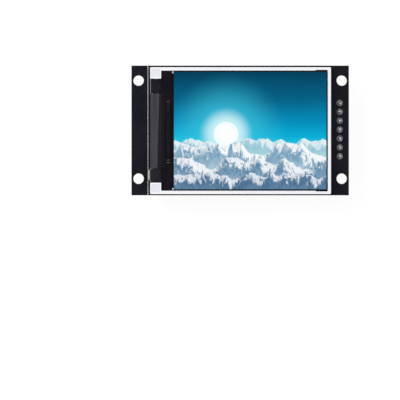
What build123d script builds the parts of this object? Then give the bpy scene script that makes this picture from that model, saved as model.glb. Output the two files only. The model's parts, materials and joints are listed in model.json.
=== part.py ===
from build123d import *
from math import sqrt
import os

# Small colour display on a circuit board, with its backlight and a seven-pin header.
# Millimetres. The origin is the centre of the four mounting holes, on the board's back face.
# +X points to the pin header, +Y to the top edge as the screen is read, +Z out of the screen.

# Glass cell, from which the display unit and the board take their length and width
window_length = 43.75
window_width = 34.0
ledge_length = 3.43
glass_thickness = 0.45
polariser_thickness = 0.15
rear_polariser_thickness = 0.13
polariser_inset = 0.15

# Moulded frame of the backlight
side_rim = 0.94
end_rim = 0.9
head_length = 3.1
corner_post_width = 3.2
rim_corner_radius = 0.3
pocket_corner_radius = 0.3
corner_relief_length = 3.4
corner_relief_depth = 0.2
post_recess_margin_x = 0.37
post_recess_margin_y = 0.5
post_recess_depth = 0.12
rim_below_window = 0.1
seat_width = 0.4
glass_clearance = 0.06

# Layers of the backlight, from the bottom up
reflector_thickness = 0.10
light_guide_thickness = 0.70
diffuser_thickness = 0.08
prism_thickness = 0.08
shading_tape_thickness = 0.06
reflector_margin = 0.5
layer_clearance = 0.1
guide_ear_length = 2.0
guide_ear_reach = 0.3
guide_ear_setback = 2.5
tape_margin = 0.05
tape_lap = 0.1
tape_window_setback = 0.5
tape_ear_setback = 0.15

# Light strip with its row of lamps, and the tail that folds round the frame's end
lamp_count = 4
lamp_end_margin = 1.85
lamp_length = 3.8
lamp_depth = 1.0
lamp_height = 0.6
lamp_clearance = 0.1
light_strip_width = 2.4
light_strip_thickness = 0.1
light_tail_gap = 0.5
light_tail_inset = 0.6
light_tail_run = 1.9
light_land_length = 1.4
light_land_width = 1.0
light_land_pitch = 1.6

# Driver chip and folded flex circuit
driver_length = 16.4
driver_width = 1.15
driver_thickness = 0.3
driver_gap = 0.45
flex_side_space = 4.25
flex_thickness = 0.12
flex_bond = 0.95
flex_overhang = 0.1
flex_crease_radius = 0.4
flex_crease_gap = 0.2
flex_drop_length = 0.9
flex_side_clearance = 0.1
flex_under_run = 8.6
flex_neck_start = 2.6
flex_neck_length = 2.0
flex_tail_margin = 0.7
flex_land_count = 12
flex_land_pitch = 0.8
flex_land_width = 0.5
flex_land_length = 2.0
flex_solder_length = 0.8
paste_dot_radius = 0.42
paste_dot_inset = 0.45

# Adhesive foam between the display unit and the board
foam_thickness = 0.5
foam_width = 7.0
foam_land_gap = 1.5
foam_right_inset = 4.0
foam_end_margin = 0.5

# Circuit board
board_left_margin = 5.4
board_right_margin = 5.3
board_side_margin = 0.5
unit_offset_y = -0.15
board_thickness = 1.6
hole_edge_end = 2.0
hole_edge_top = 4.25
hole_edge_bottom = 4.75
mounting_hole_diameter = 3.0
land_thickness = 0.05

# Pin header
pin_count = 7
pin_pitch = 2.54
pin_width = 0.64
pin_tip_width = 0.3
pin_tip_length = 0.5
pin_above_board = 1.4
pin_below_strip = 6.0
pin_edge_distance = 2.6
pin_hole_diameter = 1.0
pin_land_diameter = 1.7
pin_solder_height = 1.1
pin_solder_neck = 0.5
pin_solder_depth = 1.2
strip_width = 2.5
strip_height = 2.54
strip_notch = 0.45

# Small parts on the back of the board
chip_land_length = 1.3
chip_land_width = 1.4
chip_land_gap = 0.42
chip_length = 1.6
chip_width = 0.8
resistor_height = 0.45
capacitor_height = 0.75
termination_length = 0.3
termination_step = 0.02
row_pitch = 1.87
resistor_count = 6
resistor_column_x = 2.87
first_row_y = -8.23
spare_capacitor_gap = 7.68
diode_count = 5
diode_column_x = 9.17
diode_first_row = 1
diode_body_length = 1.2
diode_height = 0.62
diode_lead_width = 0.3
diode_lead_thickness = 0.14
solder_reach = 0.42
solder_rise = 0.32
solder_side_margin = 0.12
solder_hollow = 0.33

# Three-lead regulator
regulator_x = 3.75
regulator_y = 5.35
regulator_body_width = 2.5
regulator_body_length = 4.5
regulator_height = 1.5
regulator_draft = 6
lead_frame_thickness = 0.4
lead_pitch = 1.5
lead_width = 0.45
lead_reach = 0.95
lead_root = 0.7
tab_width = 1.7
tab_reach = 0.5
tab_land_length = 4.0
tab_land_reach = 1.1
lead_land_width = 0.9
lead_land_reach = 1.43

# Lengths and widths that follow from the glass outwards
unit_length = head_length + ledge_length + window_length + 2 * glass_clearance + end_rim
unit_width = window_width + 2 * glass_clearance + 2 * side_rim
board_length = unit_length + board_left_margin + board_right_margin
board_width = unit_width + 2 * board_side_margin
hole_spacing_x = board_length - 2 * hole_edge_end
hole_spacing_y = board_width - hole_edge_top - hole_edge_bottom
board_y = (hole_edge_top - hole_edge_bottom) / 2
unit_y = board_y + unit_offset_y
unit_left = board_left_margin - board_length / 2
unit_right = unit_left + unit_length
pocket_left = unit_left + head_length
pocket_right = unit_right - end_rim
pocket_width = unit_width - 2 * side_rim
relief_width = pocket_width + 2 * corner_relief_depth
glass_left = pocket_left + glass_clearance
glass_right = pocket_right - glass_clearance
window_left = glass_left + ledge_length
recess_width = unit_width - 2 * corner_post_width
paste_dot_y = window_width / 2 - paste_dot_inset
glass_corner_radius = pocket_corner_radius - glass_clearance
flex_width = recess_width - 2 * flex_side_space

# Heights, from the board's front face up
unit_bottom = board_thickness + foam_thickness
guide_bottom = unit_bottom + reflector_thickness
diffuser_bottom = guide_bottom + light_guide_thickness
lower_prism_bottom = diffuser_bottom + diffuser_thickness
upper_prism_bottom = lower_prism_bottom + prism_thickness
seat_height = upper_prism_bottom + prism_thickness
tape_top = seat_height + shading_tape_thickness
rear_glass_bottom = tape_top + rear_polariser_thickness
front_glass_bottom = rear_glass_bottom + glass_thickness
window_top = front_glass_bottom + glass_thickness
rim_top = window_top - rim_below_window
front_land_top = board_thickness + land_thickness
back_land_face = -land_thickness

# Places inside the backlight
opening_right = pocket_right - seat_width
opening_width = pocket_width - 2 * seat_width
guide_width = opening_width - 2 * layer_clearance
guide_right = opening_right - layer_clearance
strip_left = pocket_left + layer_clearance
strip_right = strip_left + light_strip_width
lamp_right = strip_right - layer_clearance
lamp_left = lamp_right - lamp_depth
guide_left = lamp_right + layer_clearance
opening_left = guide_left - layer_clearance
film_left = strip_right + layer_clearance
strip_bottom = seat_height - light_strip_thickness
strip_length = recess_width - 2 * layer_clearance
light_tail_width = flex_side_space - layer_clearance - light_tail_inset - light_tail_gap
light_tail_y = light_tail_inset + light_tail_width / 2 - strip_length / 2
lamp_span = strip_length - 2 * lamp_end_margin - lamp_length
lamp_pitch = lamp_span / (lamp_count - 1)
lamp_places = [lamp * lamp_pitch - lamp_span / 2 for lamp in range(lamp_count)]
tape_main_left = pocket_left + tape_margin
tape_right = pocket_right - tape_margin
tape_width = pocket_width - 2 * tape_margin

# Fold of the flex circuit round the rounded end of the frame
flex_bond_height = front_glass_bottom + flex_thickness / 2
flex_upper_height = tape_top + flex_thickness / 2
flex_lower_height = front_land_top + flex_thickness / 2
flex_fold_radius = (flex_upper_height - flex_lower_height) / 2
flex_fold_height = (flex_upper_height + flex_lower_height) / 2
flex_fold_x = unit_left - flex_overhang + flex_thickness / 2 + flex_fold_radius
flex_bond_right = glass_left + flex_bond
flex_end_x = flex_fold_x + flex_under_run
flex_tail_width = (flex_land_count - 1) * flex_land_pitch + flex_land_width + 2 * flex_tail_margin
frame_nose_radius = seat_height - flex_fold_height
notch_width = flex_width + 2 * flex_side_clearance

# Fold of the light strip's tail, centred on the frame's left face
light_tail_height = strip_bottom + light_strip_thickness / 2
light_tail_low = front_land_top + light_strip_thickness / 2
light_fold_radius = (light_tail_height - light_tail_low) / 2
light_fold_height = (light_tail_height + light_tail_low) / 2
light_tail_end_x = unit_left + light_tail_run

# Header and small parts
header_x = board_length / 2 - pin_edge_distance
pin_places = [(pin - (pin_count - 1) / 2) * pin_pitch for pin in range(pin_count)]
strip_bottom_z = -strip_height
pin_lower_end = strip_bottom_z - pin_below_strip
pin_upper_end = board_thickness + pin_above_board
resistor_rows = [first_row_y + row * row_pitch for row in range(resistor_count)]
diode_rows = [first_row_y + (row + diode_first_row) * row_pitch for row in range(diode_count)]
capacitor_rows = [first_row_y - row_pitch, resistor_rows[-1] + spare_capacitor_gap]
land_offset = (chip_land_gap + chip_land_length) / 2
lead_places = [regulator_y + (lead - 1) * lead_pitch for lead in range(3)]
body_left = regulator_x - regulator_body_width / 2
body_right = regulator_x + regulator_body_width / 2

os.makedirs("parts", exist_ok=True)


def save(piece, name):
    """Label a finished piece and write it to its own file."""
    piece.part.label = name
    export_step(piece.part, f"parts/{name}.step")


def unit_level(height):
    """Plane parallel to the board, centred across the display unit."""
    return Plane(origin=(0, unit_y, height))


def cross_plane(y):
    """Plane across the board's length at a place y: its x is X and its y is Z."""
    return Plane.XZ.offset(-y)


def bar(left, right, width, y=0, mode=Mode.ADD):
    """Rectangle of the current sketch that runs from left to right."""
    with Locations(((left + right) / 2, y)):
        Rectangle(right - left, width, mode=mode)


def solder_wedge(foot, face, side, reach, rise):
    """Hollow solder slope of the current sketch, from an end face out along its land."""
    with BuildLine() as outline:
        Polyline(
            (foot, face),
            (foot, face + rise),
            (foot + side * reach * solder_hollow, face + rise * solder_hollow),
            (foot + side * reach, face),
            close=True,
        )
    make_face(outline.edges())


def save_layer(name, left, right, width, bottom, thickness, corner_radius=0):
    """Rectangular layer of the display unit, with its right corners rounded if asked."""
    with BuildPart() as layer:
        with BuildSketch(unit_level(bottom)):
            bar(left, right, width)
            if corner_radius > 0:
                fillet(vertices().group_by(Axis.X)[-1], corner_radius)
        extrude(amount=thickness)
    save(layer, name)


# Circuit board
with BuildPart() as circuit_board:
    with BuildSketch():
        with Locations((0, board_y)):
            Rectangle(board_length, board_width)
        with GridLocations(hole_spacing_x, hole_spacing_y, 2, 2):
            Circle(mounting_hole_diameter / 2, mode=Mode.SUBTRACT)
        with Locations(*[(header_x, y) for y in pin_places]):
            Circle(pin_hole_diameter / 2, mode=Mode.SUBTRACT)
    extrude(amount=board_thickness)
save(circuit_board, "circuit_board")

# Tinned rings round the pin holes, on the front
with BuildPart() as header_lands:
    with BuildSketch(Plane.XY.offset(board_thickness)):
        with Locations(*[(header_x, y) for y in pin_places]):
            Circle(pin_land_diameter / 2)
            Circle(pin_hole_diameter / 2, mode=Mode.SUBTRACT)
    extrude(amount=land_thickness)
save(header_lands, "header_lands")

# Header strip: segments with a break notch on each side between them, and a square hole for each pin
with BuildPart() as header_body:
    with BuildSketch(Plane.XY.offset(strip_bottom_z)):
        with Locations((header_x, 0)):
            Rectangle(strip_width, pin_count * pin_pitch)
            with GridLocations(strip_width, pin_pitch, 2, pin_count + 1):
                notch_side = strip_notch * sqrt(2)
                Rectangle(notch_side, notch_side, rotation=45, mode=Mode.SUBTRACT)
            with Locations(*[(0, y) for y in pin_places]):
                Rectangle(pin_width, pin_width, mode=Mode.SUBTRACT)
    extrude(amount=strip_height)
save(header_body, "header_body")

# Header pins, tapered at both ends, and their solder joints
for number, pin_y in enumerate(pin_places, start=1):
    with BuildPart() as header_pin:
        with BuildSketch(Plane.XY.offset(pin_lower_end + pin_tip_length)):
            with Locations((header_x, pin_y)):
                Rectangle(pin_width, pin_width)
        extrude(amount=pin_upper_end - pin_lower_end - 2 * pin_tip_length)
        for root, tip in (
            (pin_lower_end + pin_tip_length, pin_lower_end),
            (pin_upper_end - pin_tip_length, pin_upper_end),
        ):
            with BuildSketch(Plane.XY.offset(root)):
                with Locations((header_x, pin_y)):
                    Rectangle(pin_width, pin_width)
            with BuildSketch(Plane.XY.offset(tip)):
                with Locations((header_x, pin_y)):
                    Rectangle(pin_tip_width, pin_tip_width)
            loft()
    save(header_pin, f"header_pin_{number}")

    with BuildPart() as header_solder:
        with BuildSketch(cross_plane(pin_y)):
            with BuildLine():
                hole_radius = pin_hole_diameter / 2
                land_radius = pin_land_diameter / 2
                barrel_end = board_thickness - pin_solder_depth
                solder_top = front_land_top + pin_solder_height
                Polyline(
                    (header_x, solder_top),
                    (header_x, barrel_end),
                    (header_x + hole_radius, barrel_end),
                    (header_x + hole_radius, front_land_top),
                    (header_x + land_radius, front_land_top),
                )
                ThreePointArc(
                    (header_x + land_radius, front_land_top),
                    (
                        header_x + pin_solder_neck + (land_radius - pin_solder_neck) * 0.4,
                        front_land_top + pin_solder_height * 0.4,
                    ),
                    (header_x + pin_solder_neck, solder_top),
                )
                Line((header_x + pin_solder_neck, solder_top), (header_x, solder_top))
            make_face()
        revolve(axis=Axis((header_x, pin_y, 0), (0, 0, 1)))
        with BuildSketch(Plane.XY.offset(barrel_end)):
            with Locations((header_x, pin_y)):
                Rectangle(pin_width, pin_width)
        extrude(amount=solder_top - barrel_end, mode=Mode.SUBTRACT)
    save(header_solder, f"header_solder_{number}")

# Tinned lands of the small parts on the back
with BuildPart() as chip_lands:
    with BuildSketch(Plane.XY.offset(back_land_face)):
        for column_x, rows in (
            (resistor_column_x, resistor_rows + capacitor_rows),
            (diode_column_x, diode_rows),
        ):
            ends = [(column_x + side * land_offset, y) for y in rows for side in (-1, 1)]
            with Locations(*ends):
                Rectangle(chip_land_length, chip_land_width)
        bar(body_left - tab_land_reach, body_left + tab_reach, tab_land_length, regulator_y)
        for lead_y in lead_places:
            bar(body_right, body_right + lead_land_reach, lead_land_width, lead_y)
    extrude(amount=land_thickness)
save(chip_lands, "chip_lands")


def save_chip(name, chip_x, chip_y, height):
    """Ceramic chip with plated ends that stand a little proud of its middle."""
    with BuildPart() as chip:
        with BuildSketch(Plane.XY.offset(back_land_face - termination_step)):
            with Locations((chip_x, chip_y)):
                Rectangle(chip_length, chip_width - 2 * termination_step)
        extrude(amount=2 * termination_step - height)
        with BuildSketch(Plane.XY.offset(back_land_face)):
            for side in (-1, 1):
                end_x = chip_x + side * (chip_length - termination_length) / 2
                with Locations((end_x, chip_y)):
                    Rectangle(termination_length, chip_width)
        extrude(amount=-height)
    save(chip, name)


for number, chip_y in enumerate(resistor_rows, start=1):
    save_chip(f"resistor_{number}", resistor_column_x, chip_y, resistor_height)
for number, chip_y in enumerate(capacitor_rows, start=1):
    save_chip(f"capacitor_{number}", resistor_column_x, chip_y, capacitor_height)

# Diodes: a moulded body on a flat lead that comes out at both ends
for number, diode_y in enumerate(diode_rows, start=1):
    with BuildPart() as diode:
        with BuildSketch(Plane.XY.offset(back_land_face)):
            with Locations((diode_column_x, diode_y)):
                Rectangle(chip_length, diode_lead_width)
        extrude(amount=-diode_lead_thickness)
        with BuildSketch(Plane.XY.offset(back_land_face)):
            with Locations((diode_column_x, diode_y)):
                Rectangle(diode_body_length, chip_width)
        extrude(amount=-diode_height, taper=regulator_draft)
    save(diode, f"diode_{number}")

# Regulator: lead frame first, then the moulded body around it
with BuildPart() as regulator_leads:
    with BuildSketch(Plane.XY.offset(back_land_face)):
        bar(body_left - tab_reach, body_right - lead_root, tab_width, regulator_y)
        bar(body_right - lead_root, body_right + lead_reach, lead_width, regulator_y)
        for lead_y in (lead_places[0], lead_places[-1]):
            bar(body_right - lead_root / 2, body_right + lead_reach, lead_width, lead_y)
    extrude(amount=-lead_frame_thickness)
save(regulator_leads, "regulator_leads")

with BuildPart() as regulator_body:
    with BuildSketch(Plane.XY.offset(back_land_face)):
        with Locations((regulator_x, regulator_y)):
            Rectangle(regulator_body_width, regulator_body_length)
    extrude(amount=-lead_frame_thickness)
    with BuildSketch(Plane.XY.offset(back_land_face - lead_frame_thickness)):
        with Locations((regulator_x, regulator_y)):
            Rectangle(regulator_body_width, regulator_body_length)
    extrude(amount=lead_frame_thickness - regulator_height, taper=regulator_draft)
    add(regulator_leads.part, mode=Mode.SUBTRACT)
save(regulator_body, "regulator_body")


# Solder at the ends of the small parts
with BuildPart() as chip_solder:
    for column_x, rows, wedge_width in (
        (resistor_column_x, resistor_rows + capacitor_rows, chip_width + 2 * solder_side_margin),
        (diode_column_x, diode_rows, chip_width),
    ):
        rise = solder_rise if column_x == resistor_column_x else diode_lead_thickness
        for side in (-1, 1):
            with BuildSketch(*[cross_plane(y) for y in rows]):
                solder_wedge(column_x + side * chip_length / 2, back_land_face, side, solder_reach, -rise)
        extrude(amount=wedge_width / 2, both=True)
    with BuildSketch(cross_plane(regulator_y)):
        solder_wedge(body_left - tab_reach, back_land_face, -1, solder_reach, -lead_frame_thickness)
    extrude(amount=tab_width / 2, both=True)
    with BuildSketch(*[cross_plane(y) for y in lead_places]):
        solder_wedge(body_right + lead_reach, back_land_face, 1, solder_reach, -lead_frame_thickness)
    extrude(amount=lead_land_width / 2, both=True)
save(chip_solder, "chip_solder")

# Moulded frame of the backlight
with BuildPart() as backlight_frame:
    with BuildSketch(unit_level(unit_bottom)):
        bar(unit_left, unit_right, unit_width)
        fillet(vertices(), rim_corner_radius)
    extrude(amount=rim_top - unit_bottom)
    # Pocket for the glass, relieved at its right corners, and the recess between the corner posts
    # at the flex circuit's end
    with BuildSketch(unit_level(seat_height)):
        bar(pocket_left, pocket_right, pocket_width)
        bar(pocket_right - corner_relief_length, pocket_right, relief_width)
        fillet(vertices().group_by(Axis.X)[-1], pocket_corner_radius)
        bar(unit_left, pocket_left, recess_width)
    extrude(amount=rim_top - seat_height, mode=Mode.SUBTRACT)
    # Shallow recess in the top of each corner post
    with BuildSketch(unit_level(rim_top)):
        for side in (-1, 1):
            bar(
                unit_left + post_recess_margin_x,
                pocket_left - post_recess_margin_x,
                corner_post_width - 2 * post_recess_margin_y,
                side * (unit_width - corner_post_width) / 2,
            )
    extrude(amount=-post_recess_depth, mode=Mode.SUBTRACT)
    # Opening for the light guide with its two ears, and a bay for each lamp
    with BuildSketch(unit_level(unit_bottom)):
        bar(opening_left, opening_right, opening_width)
        ear_x = guide_left + guide_ear_setback
        bar(
            ear_x - layer_clearance,
            ear_x + guide_ear_length + layer_clearance,
            opening_width + 2 * guide_ear_reach,
        )
        for lamp_y in lamp_places:
            bar(lamp_left - lamp_clearance, opening_left, lamp_length + 2 * lamp_clearance, lamp_y)
    extrude(amount=seat_height - unit_bottom, mode=Mode.SUBTRACT)
    # Rebate under the frame for the reflector sheet
    with BuildSketch(unit_level(unit_bottom)):
        bar(
            pocket_left - reflector_margin,
            pocket_right + reflector_margin,
            pocket_width + 2 * reflector_margin,
        )
    extrude(amount=reflector_thickness, mode=Mode.SUBTRACT)
    # Channel for the light strip and its tail
    with BuildSketch(unit_level(strip_bottom)):
        bar(pocket_left, opening_left, recess_width)
        bar(unit_left, pocket_left, light_tail_width + 2 * layer_clearance, light_tail_y)
    extrude(amount=light_strip_thickness, mode=Mode.SUBTRACT)
    # Rounded end that the flex circuit is folded round
    with BuildSketch(cross_plane(unit_y)):
        with Locations(((unit_left + flex_fold_x) / 2, (unit_bottom + seat_height) / 2)):
            Rectangle(flex_fold_x - unit_left, seat_height - unit_bottom)
        with Locations((flex_fold_x, flex_fold_height)):
            Circle(frame_nose_radius, mode=Mode.SUBTRACT)
    extrude(amount=notch_width / 2, both=True, mode=Mode.SUBTRACT)
save(backlight_frame, "backlight_frame")

# Layers of the backlight
save_layer(
    "reflector_sheet",
    pocket_left - reflector_margin + layer_clearance,
    pocket_right + reflector_margin - layer_clearance,
    pocket_width + 2 * reflector_margin - 2 * layer_clearance,
    unit_bottom,
    reflector_thickness,
)

with BuildPart() as light_guide:
    with BuildSketch(unit_level(guide_bottom)):
        bar(guide_left, guide_right, guide_width)
        bar(ear_x, ear_x + guide_ear_length, guide_width + 2 * guide_ear_reach)
    extrude(amount=light_guide_thickness)
save(light_guide, "light_guide")

for name, bottom, thickness in (
    ("diffuser_sheet", diffuser_bottom, diffuser_thickness),
    ("prism_sheet_lower", lower_prism_bottom, prism_thickness),
    ("prism_sheet_upper", upper_prism_bottom, prism_thickness),
):
    save_layer(name, film_left, guide_right, guide_width, bottom, thickness)

# Light strip: a thin flex with a tail that folds round the frame's end to the board
with BuildPart() as light_strip:
    with BuildSketch(unit_level(strip_bottom)):
        bar(strip_left, strip_right, strip_length)
    extrude(amount=light_strip_thickness)
    with BuildSketch(cross_plane(unit_y + light_tail_y)):
        with BuildLine() as light_tail_path:
            Line((strip_left, light_tail_height), (unit_left, light_tail_height))
            CenterArc((unit_left, light_fold_height), light_fold_radius, 90, 180)
            Line((unit_left, light_tail_low), (light_tail_end_x, light_tail_low))
        trace(line_width=light_strip_thickness)
    extrude(amount=light_tail_width / 2, both=True)
save(light_strip, "light_strip")

for number, lamp_y in enumerate(lamp_places, start=1):
    with BuildPart() as lamp:
        with BuildSketch(unit_level(strip_bottom)):
            bar(lamp_left, lamp_right, lamp_length, lamp_y)
        extrude(amount=-lamp_height)
    save(lamp, f"lamp_{number}")

# Shading tape: a frame under the glass, with two ears beside the flex circuit at the left end
with BuildPart() as shading_tape:
    with BuildSketch(unit_level(seat_height)):
        bar(tape_main_left, tape_right, tape_width)
        bar(
            pocket_right - corner_relief_length + tape_margin,
            tape_right,
            relief_width - 2 * tape_margin,
        )
        fillet(vertices().group_by(Axis.X)[-1], pocket_corner_radius - tape_margin)
        bar(unit_left + tape_ear_setback, tape_main_left, recess_width - 2 * tape_margin)
        bar(unit_left, flex_fold_x, notch_width, mode=Mode.SUBTRACT)
        bar(
            window_left + tape_window_setback,
            opening_right - tape_lap,
            opening_width - 2 * tape_lap,
            mode=Mode.SUBTRACT,
        )
    extrude(amount=shading_tape_thickness)
save(shading_tape, "shading_tape")

# Glass cell with its polarisers
for name, left, right, width, bottom, thickness in (
    (
        "rear_polariser",
        window_left + polariser_inset,
        glass_right - polariser_inset,
        window_width - 2 * polariser_inset,
        tape_top,
        rear_polariser_thickness,
    ),
    ("rear_glass", glass_left, glass_right, window_width, rear_glass_bottom, glass_thickness),
    ("front_glass", window_left, glass_right, window_width, front_glass_bottom, glass_thickness),
    (
        "front_polariser",
        window_left + polariser_inset,
        glass_right - polariser_inset,
        window_width - 2 * polariser_inset,
        window_top,
        polariser_thickness,
    ),
):
    save_layer(name, left, right, width, bottom, thickness, glass_corner_radius)

# Driver chip on the ledge of the rear glass
driver_left = flex_bond_right + driver_gap
save_layer(
    "driver_chip",
    driver_left,
    driver_left + driver_width,
    driver_length,
    front_glass_bottom,
    driver_thickness,
)

# Paste dots at the left corners of the front glass
with BuildPart() as paste_dots:
    with Locations(unit_level(front_glass_bottom)):
        with Locations(*[(window_left, side * paste_dot_y) for side in (-1, 1)]):
            Sphere(paste_dot_radius, 0, 90, 180, rotation=(0, 0, 90), align=None)
save(paste_dots, "paste_dots")

# Flex circuit: bonded on the ledge, creased down to the tape, folded round the frame's rounded end
# and run back between the display unit and the board, where it narrows to its soldered tail
with BuildPart() as flex_circuit:
    with BuildSketch(cross_plane(unit_y)):
        with BuildLine():
            FilletPolyline(
                (flex_bond_right, flex_bond_height),
                (glass_left - flex_crease_gap, flex_bond_height),
                (glass_left - flex_drop_length, flex_upper_height),
                (flex_fold_x, flex_upper_height),
                radius=flex_crease_radius,
            )
            CenterArc((flex_fold_x, flex_fold_height), flex_fold_radius, 90, 180)
            Line((flex_fold_x, flex_lower_height), (flex_end_x, flex_lower_height))
        trace(line_width=flex_thickness)
    extrude(amount=flex_width / 2, both=True)
    with BuildSketch(unit_level(board_thickness)):
        neck_x = flex_fold_x + flex_neck_start
        with BuildLine():
            Polyline(
                (neck_x, flex_width / 2),
                (neck_x + flex_neck_length, flex_tail_width / 2),
                (flex_end_x, flex_tail_width / 2),
                (flex_end_x, flex_width / 2),
                close=True,
            )
        make_face()
        mirror(about=Plane.XZ)
    extrude(amount=foam_thickness, mode=Mode.SUBTRACT)
save(flex_circuit, "flex_circuit")

# Lands and solder of the two tails, on the board's front under the display unit
land_ys = [(land - (flex_land_count - 1) / 2) * flex_land_pitch for land in range(flex_land_count)]
light_land_ys = [light_tail_y + side * light_land_pitch / 2 for side in (-1, 1)]

with BuildPart() as flex_lands:
    with BuildSketch(unit_level(board_thickness)):
        with Locations(*[(flex_end_x, y) for y in land_ys]):
            Rectangle(flex_land_length, flex_land_width)
        with Locations(*[(light_tail_end_x, y) for y in light_land_ys]):
            Rectangle(light_land_length, light_land_width)
    extrude(amount=land_thickness)
save(flex_lands, "flex_lands")

with BuildPart() as flex_solder:
    with BuildSketch(*[cross_plane(unit_y + y) for y in land_ys]):
        solder_wedge(flex_end_x, front_land_top, 1, flex_solder_length, flex_thickness)
    extrude(amount=flex_land_width / 2, both=True)
    with BuildSketch(*[cross_plane(unit_y + y) for y in light_land_ys]):
        solder_wedge(
            light_tail_end_x, front_land_top, 1, solder_reach, light_strip_thickness
        )
    extrude(amount=light_land_width / 2, both=True)
save(flex_solder, "flex_solder")

# Adhesive foam strips that hold the display unit on the board
foam_length = unit_width - 2 * foam_end_margin
foam_left = flex_end_x + flex_land_length / 2 + foam_land_gap
foam_right = unit_right - foam_right_inset
for name, left in (("foam_strip_left", foam_left), ("foam_strip_right", foam_right - foam_width)):
    save_layer(name, left, left + foam_width, foam_length, board_thickness, foam_thickness)
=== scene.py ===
"""Looks of a small colour display on its circuit board: finishes, print, tracks and studio.

Lengths are written in millimetres and put into the meshes in metres, in the frame of the solids:
+X points to the pin header, +Y to the top edge as the screen is read, +Z out of the screen.
"""

import json
import logging
import math
from collections.abc import Sequence
from dataclasses import dataclass, field, replace
from enum import Enum

import bmesh
import bpy
import numpy as np
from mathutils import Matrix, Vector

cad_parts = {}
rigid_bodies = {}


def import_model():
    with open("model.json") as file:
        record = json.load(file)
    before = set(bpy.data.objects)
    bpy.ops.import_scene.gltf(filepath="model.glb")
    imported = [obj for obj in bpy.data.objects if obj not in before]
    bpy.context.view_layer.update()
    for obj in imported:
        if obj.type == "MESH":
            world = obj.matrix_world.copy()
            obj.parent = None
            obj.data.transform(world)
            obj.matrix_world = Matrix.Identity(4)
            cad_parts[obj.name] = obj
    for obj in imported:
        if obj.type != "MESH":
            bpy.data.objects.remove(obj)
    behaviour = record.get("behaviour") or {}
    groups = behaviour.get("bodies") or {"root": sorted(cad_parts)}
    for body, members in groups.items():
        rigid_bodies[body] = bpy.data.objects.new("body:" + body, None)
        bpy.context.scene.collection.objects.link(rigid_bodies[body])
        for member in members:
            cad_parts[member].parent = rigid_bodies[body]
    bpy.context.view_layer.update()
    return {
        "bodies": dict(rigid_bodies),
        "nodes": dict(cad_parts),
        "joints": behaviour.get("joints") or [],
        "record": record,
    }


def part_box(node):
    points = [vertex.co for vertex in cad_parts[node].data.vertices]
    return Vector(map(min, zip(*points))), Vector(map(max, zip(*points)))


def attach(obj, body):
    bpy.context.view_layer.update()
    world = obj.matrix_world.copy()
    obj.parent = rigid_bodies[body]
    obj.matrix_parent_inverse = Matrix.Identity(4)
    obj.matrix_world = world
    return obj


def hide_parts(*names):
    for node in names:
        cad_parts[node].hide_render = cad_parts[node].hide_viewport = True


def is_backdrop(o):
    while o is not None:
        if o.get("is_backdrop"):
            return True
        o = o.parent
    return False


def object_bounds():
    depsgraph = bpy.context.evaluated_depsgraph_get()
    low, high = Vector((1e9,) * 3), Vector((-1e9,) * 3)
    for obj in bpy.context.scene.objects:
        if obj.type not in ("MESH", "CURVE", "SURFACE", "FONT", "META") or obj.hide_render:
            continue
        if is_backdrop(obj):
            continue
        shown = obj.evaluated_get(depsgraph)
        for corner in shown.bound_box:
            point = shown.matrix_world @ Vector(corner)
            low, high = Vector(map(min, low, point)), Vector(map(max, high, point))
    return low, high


Array = np.ndarray
Place = tuple[float, float]
Triple = tuple[float, float, float]
Colour = Triple
Socket = bpy.types.NodeSocket
Value = float | Socket
Feed = float | Triple | Socket

METRES = 0.001
LOG = logging.getLogger("display_module")


def ink(red: int, green: int, blue: int) -> Colour:
    """Turns a screen colour into the linear values that shaders take, by the screen's own curve.

    Args:
        red: Red, 0 to 255.
        green: Green, 0 to 255.
        blue: Blue, 0 to 255.

    Returns:
        The three linear values.
    """
    parts = np.array([red, green, blue], float) / 255.0
    linear = np.where(parts <= 0.04045, parts / 12.92, ((parts + 0.055) / 1.055) ** 2.4)
    return tuple(linear.tolist())


def scaled(values: Triple, by: float) -> Triple:
    """Three values, each times the same number."""
    return tuple(by * value for value in values)


def numbered(stem: str, count: int) -> list[str]:
    """Names of like solids, with their numbers from 1 on."""
    return [f"{stem}_{number}" for number in range(1, count + 1)]


@dataclass(frozen=True)
class Span:
    """The box of a solid, in millimetres."""

    low: Triple
    high: Triple

    @classmethod
    def of(cls, node: str) -> "Span":
        """Reads the box of the solid of that name."""
        return cls(*(tuple(v / METRES for v in corner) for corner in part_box(node)))

    def middle(self, axis: int) -> float:
        """Middle of the box along one axis."""
        return (self.low[axis] + self.high[axis]) / 2

    def size(self, axis: int) -> float:
        """Length of the box along one axis."""
        return self.high[axis] - self.low[axis]


# Shader nodes


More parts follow.
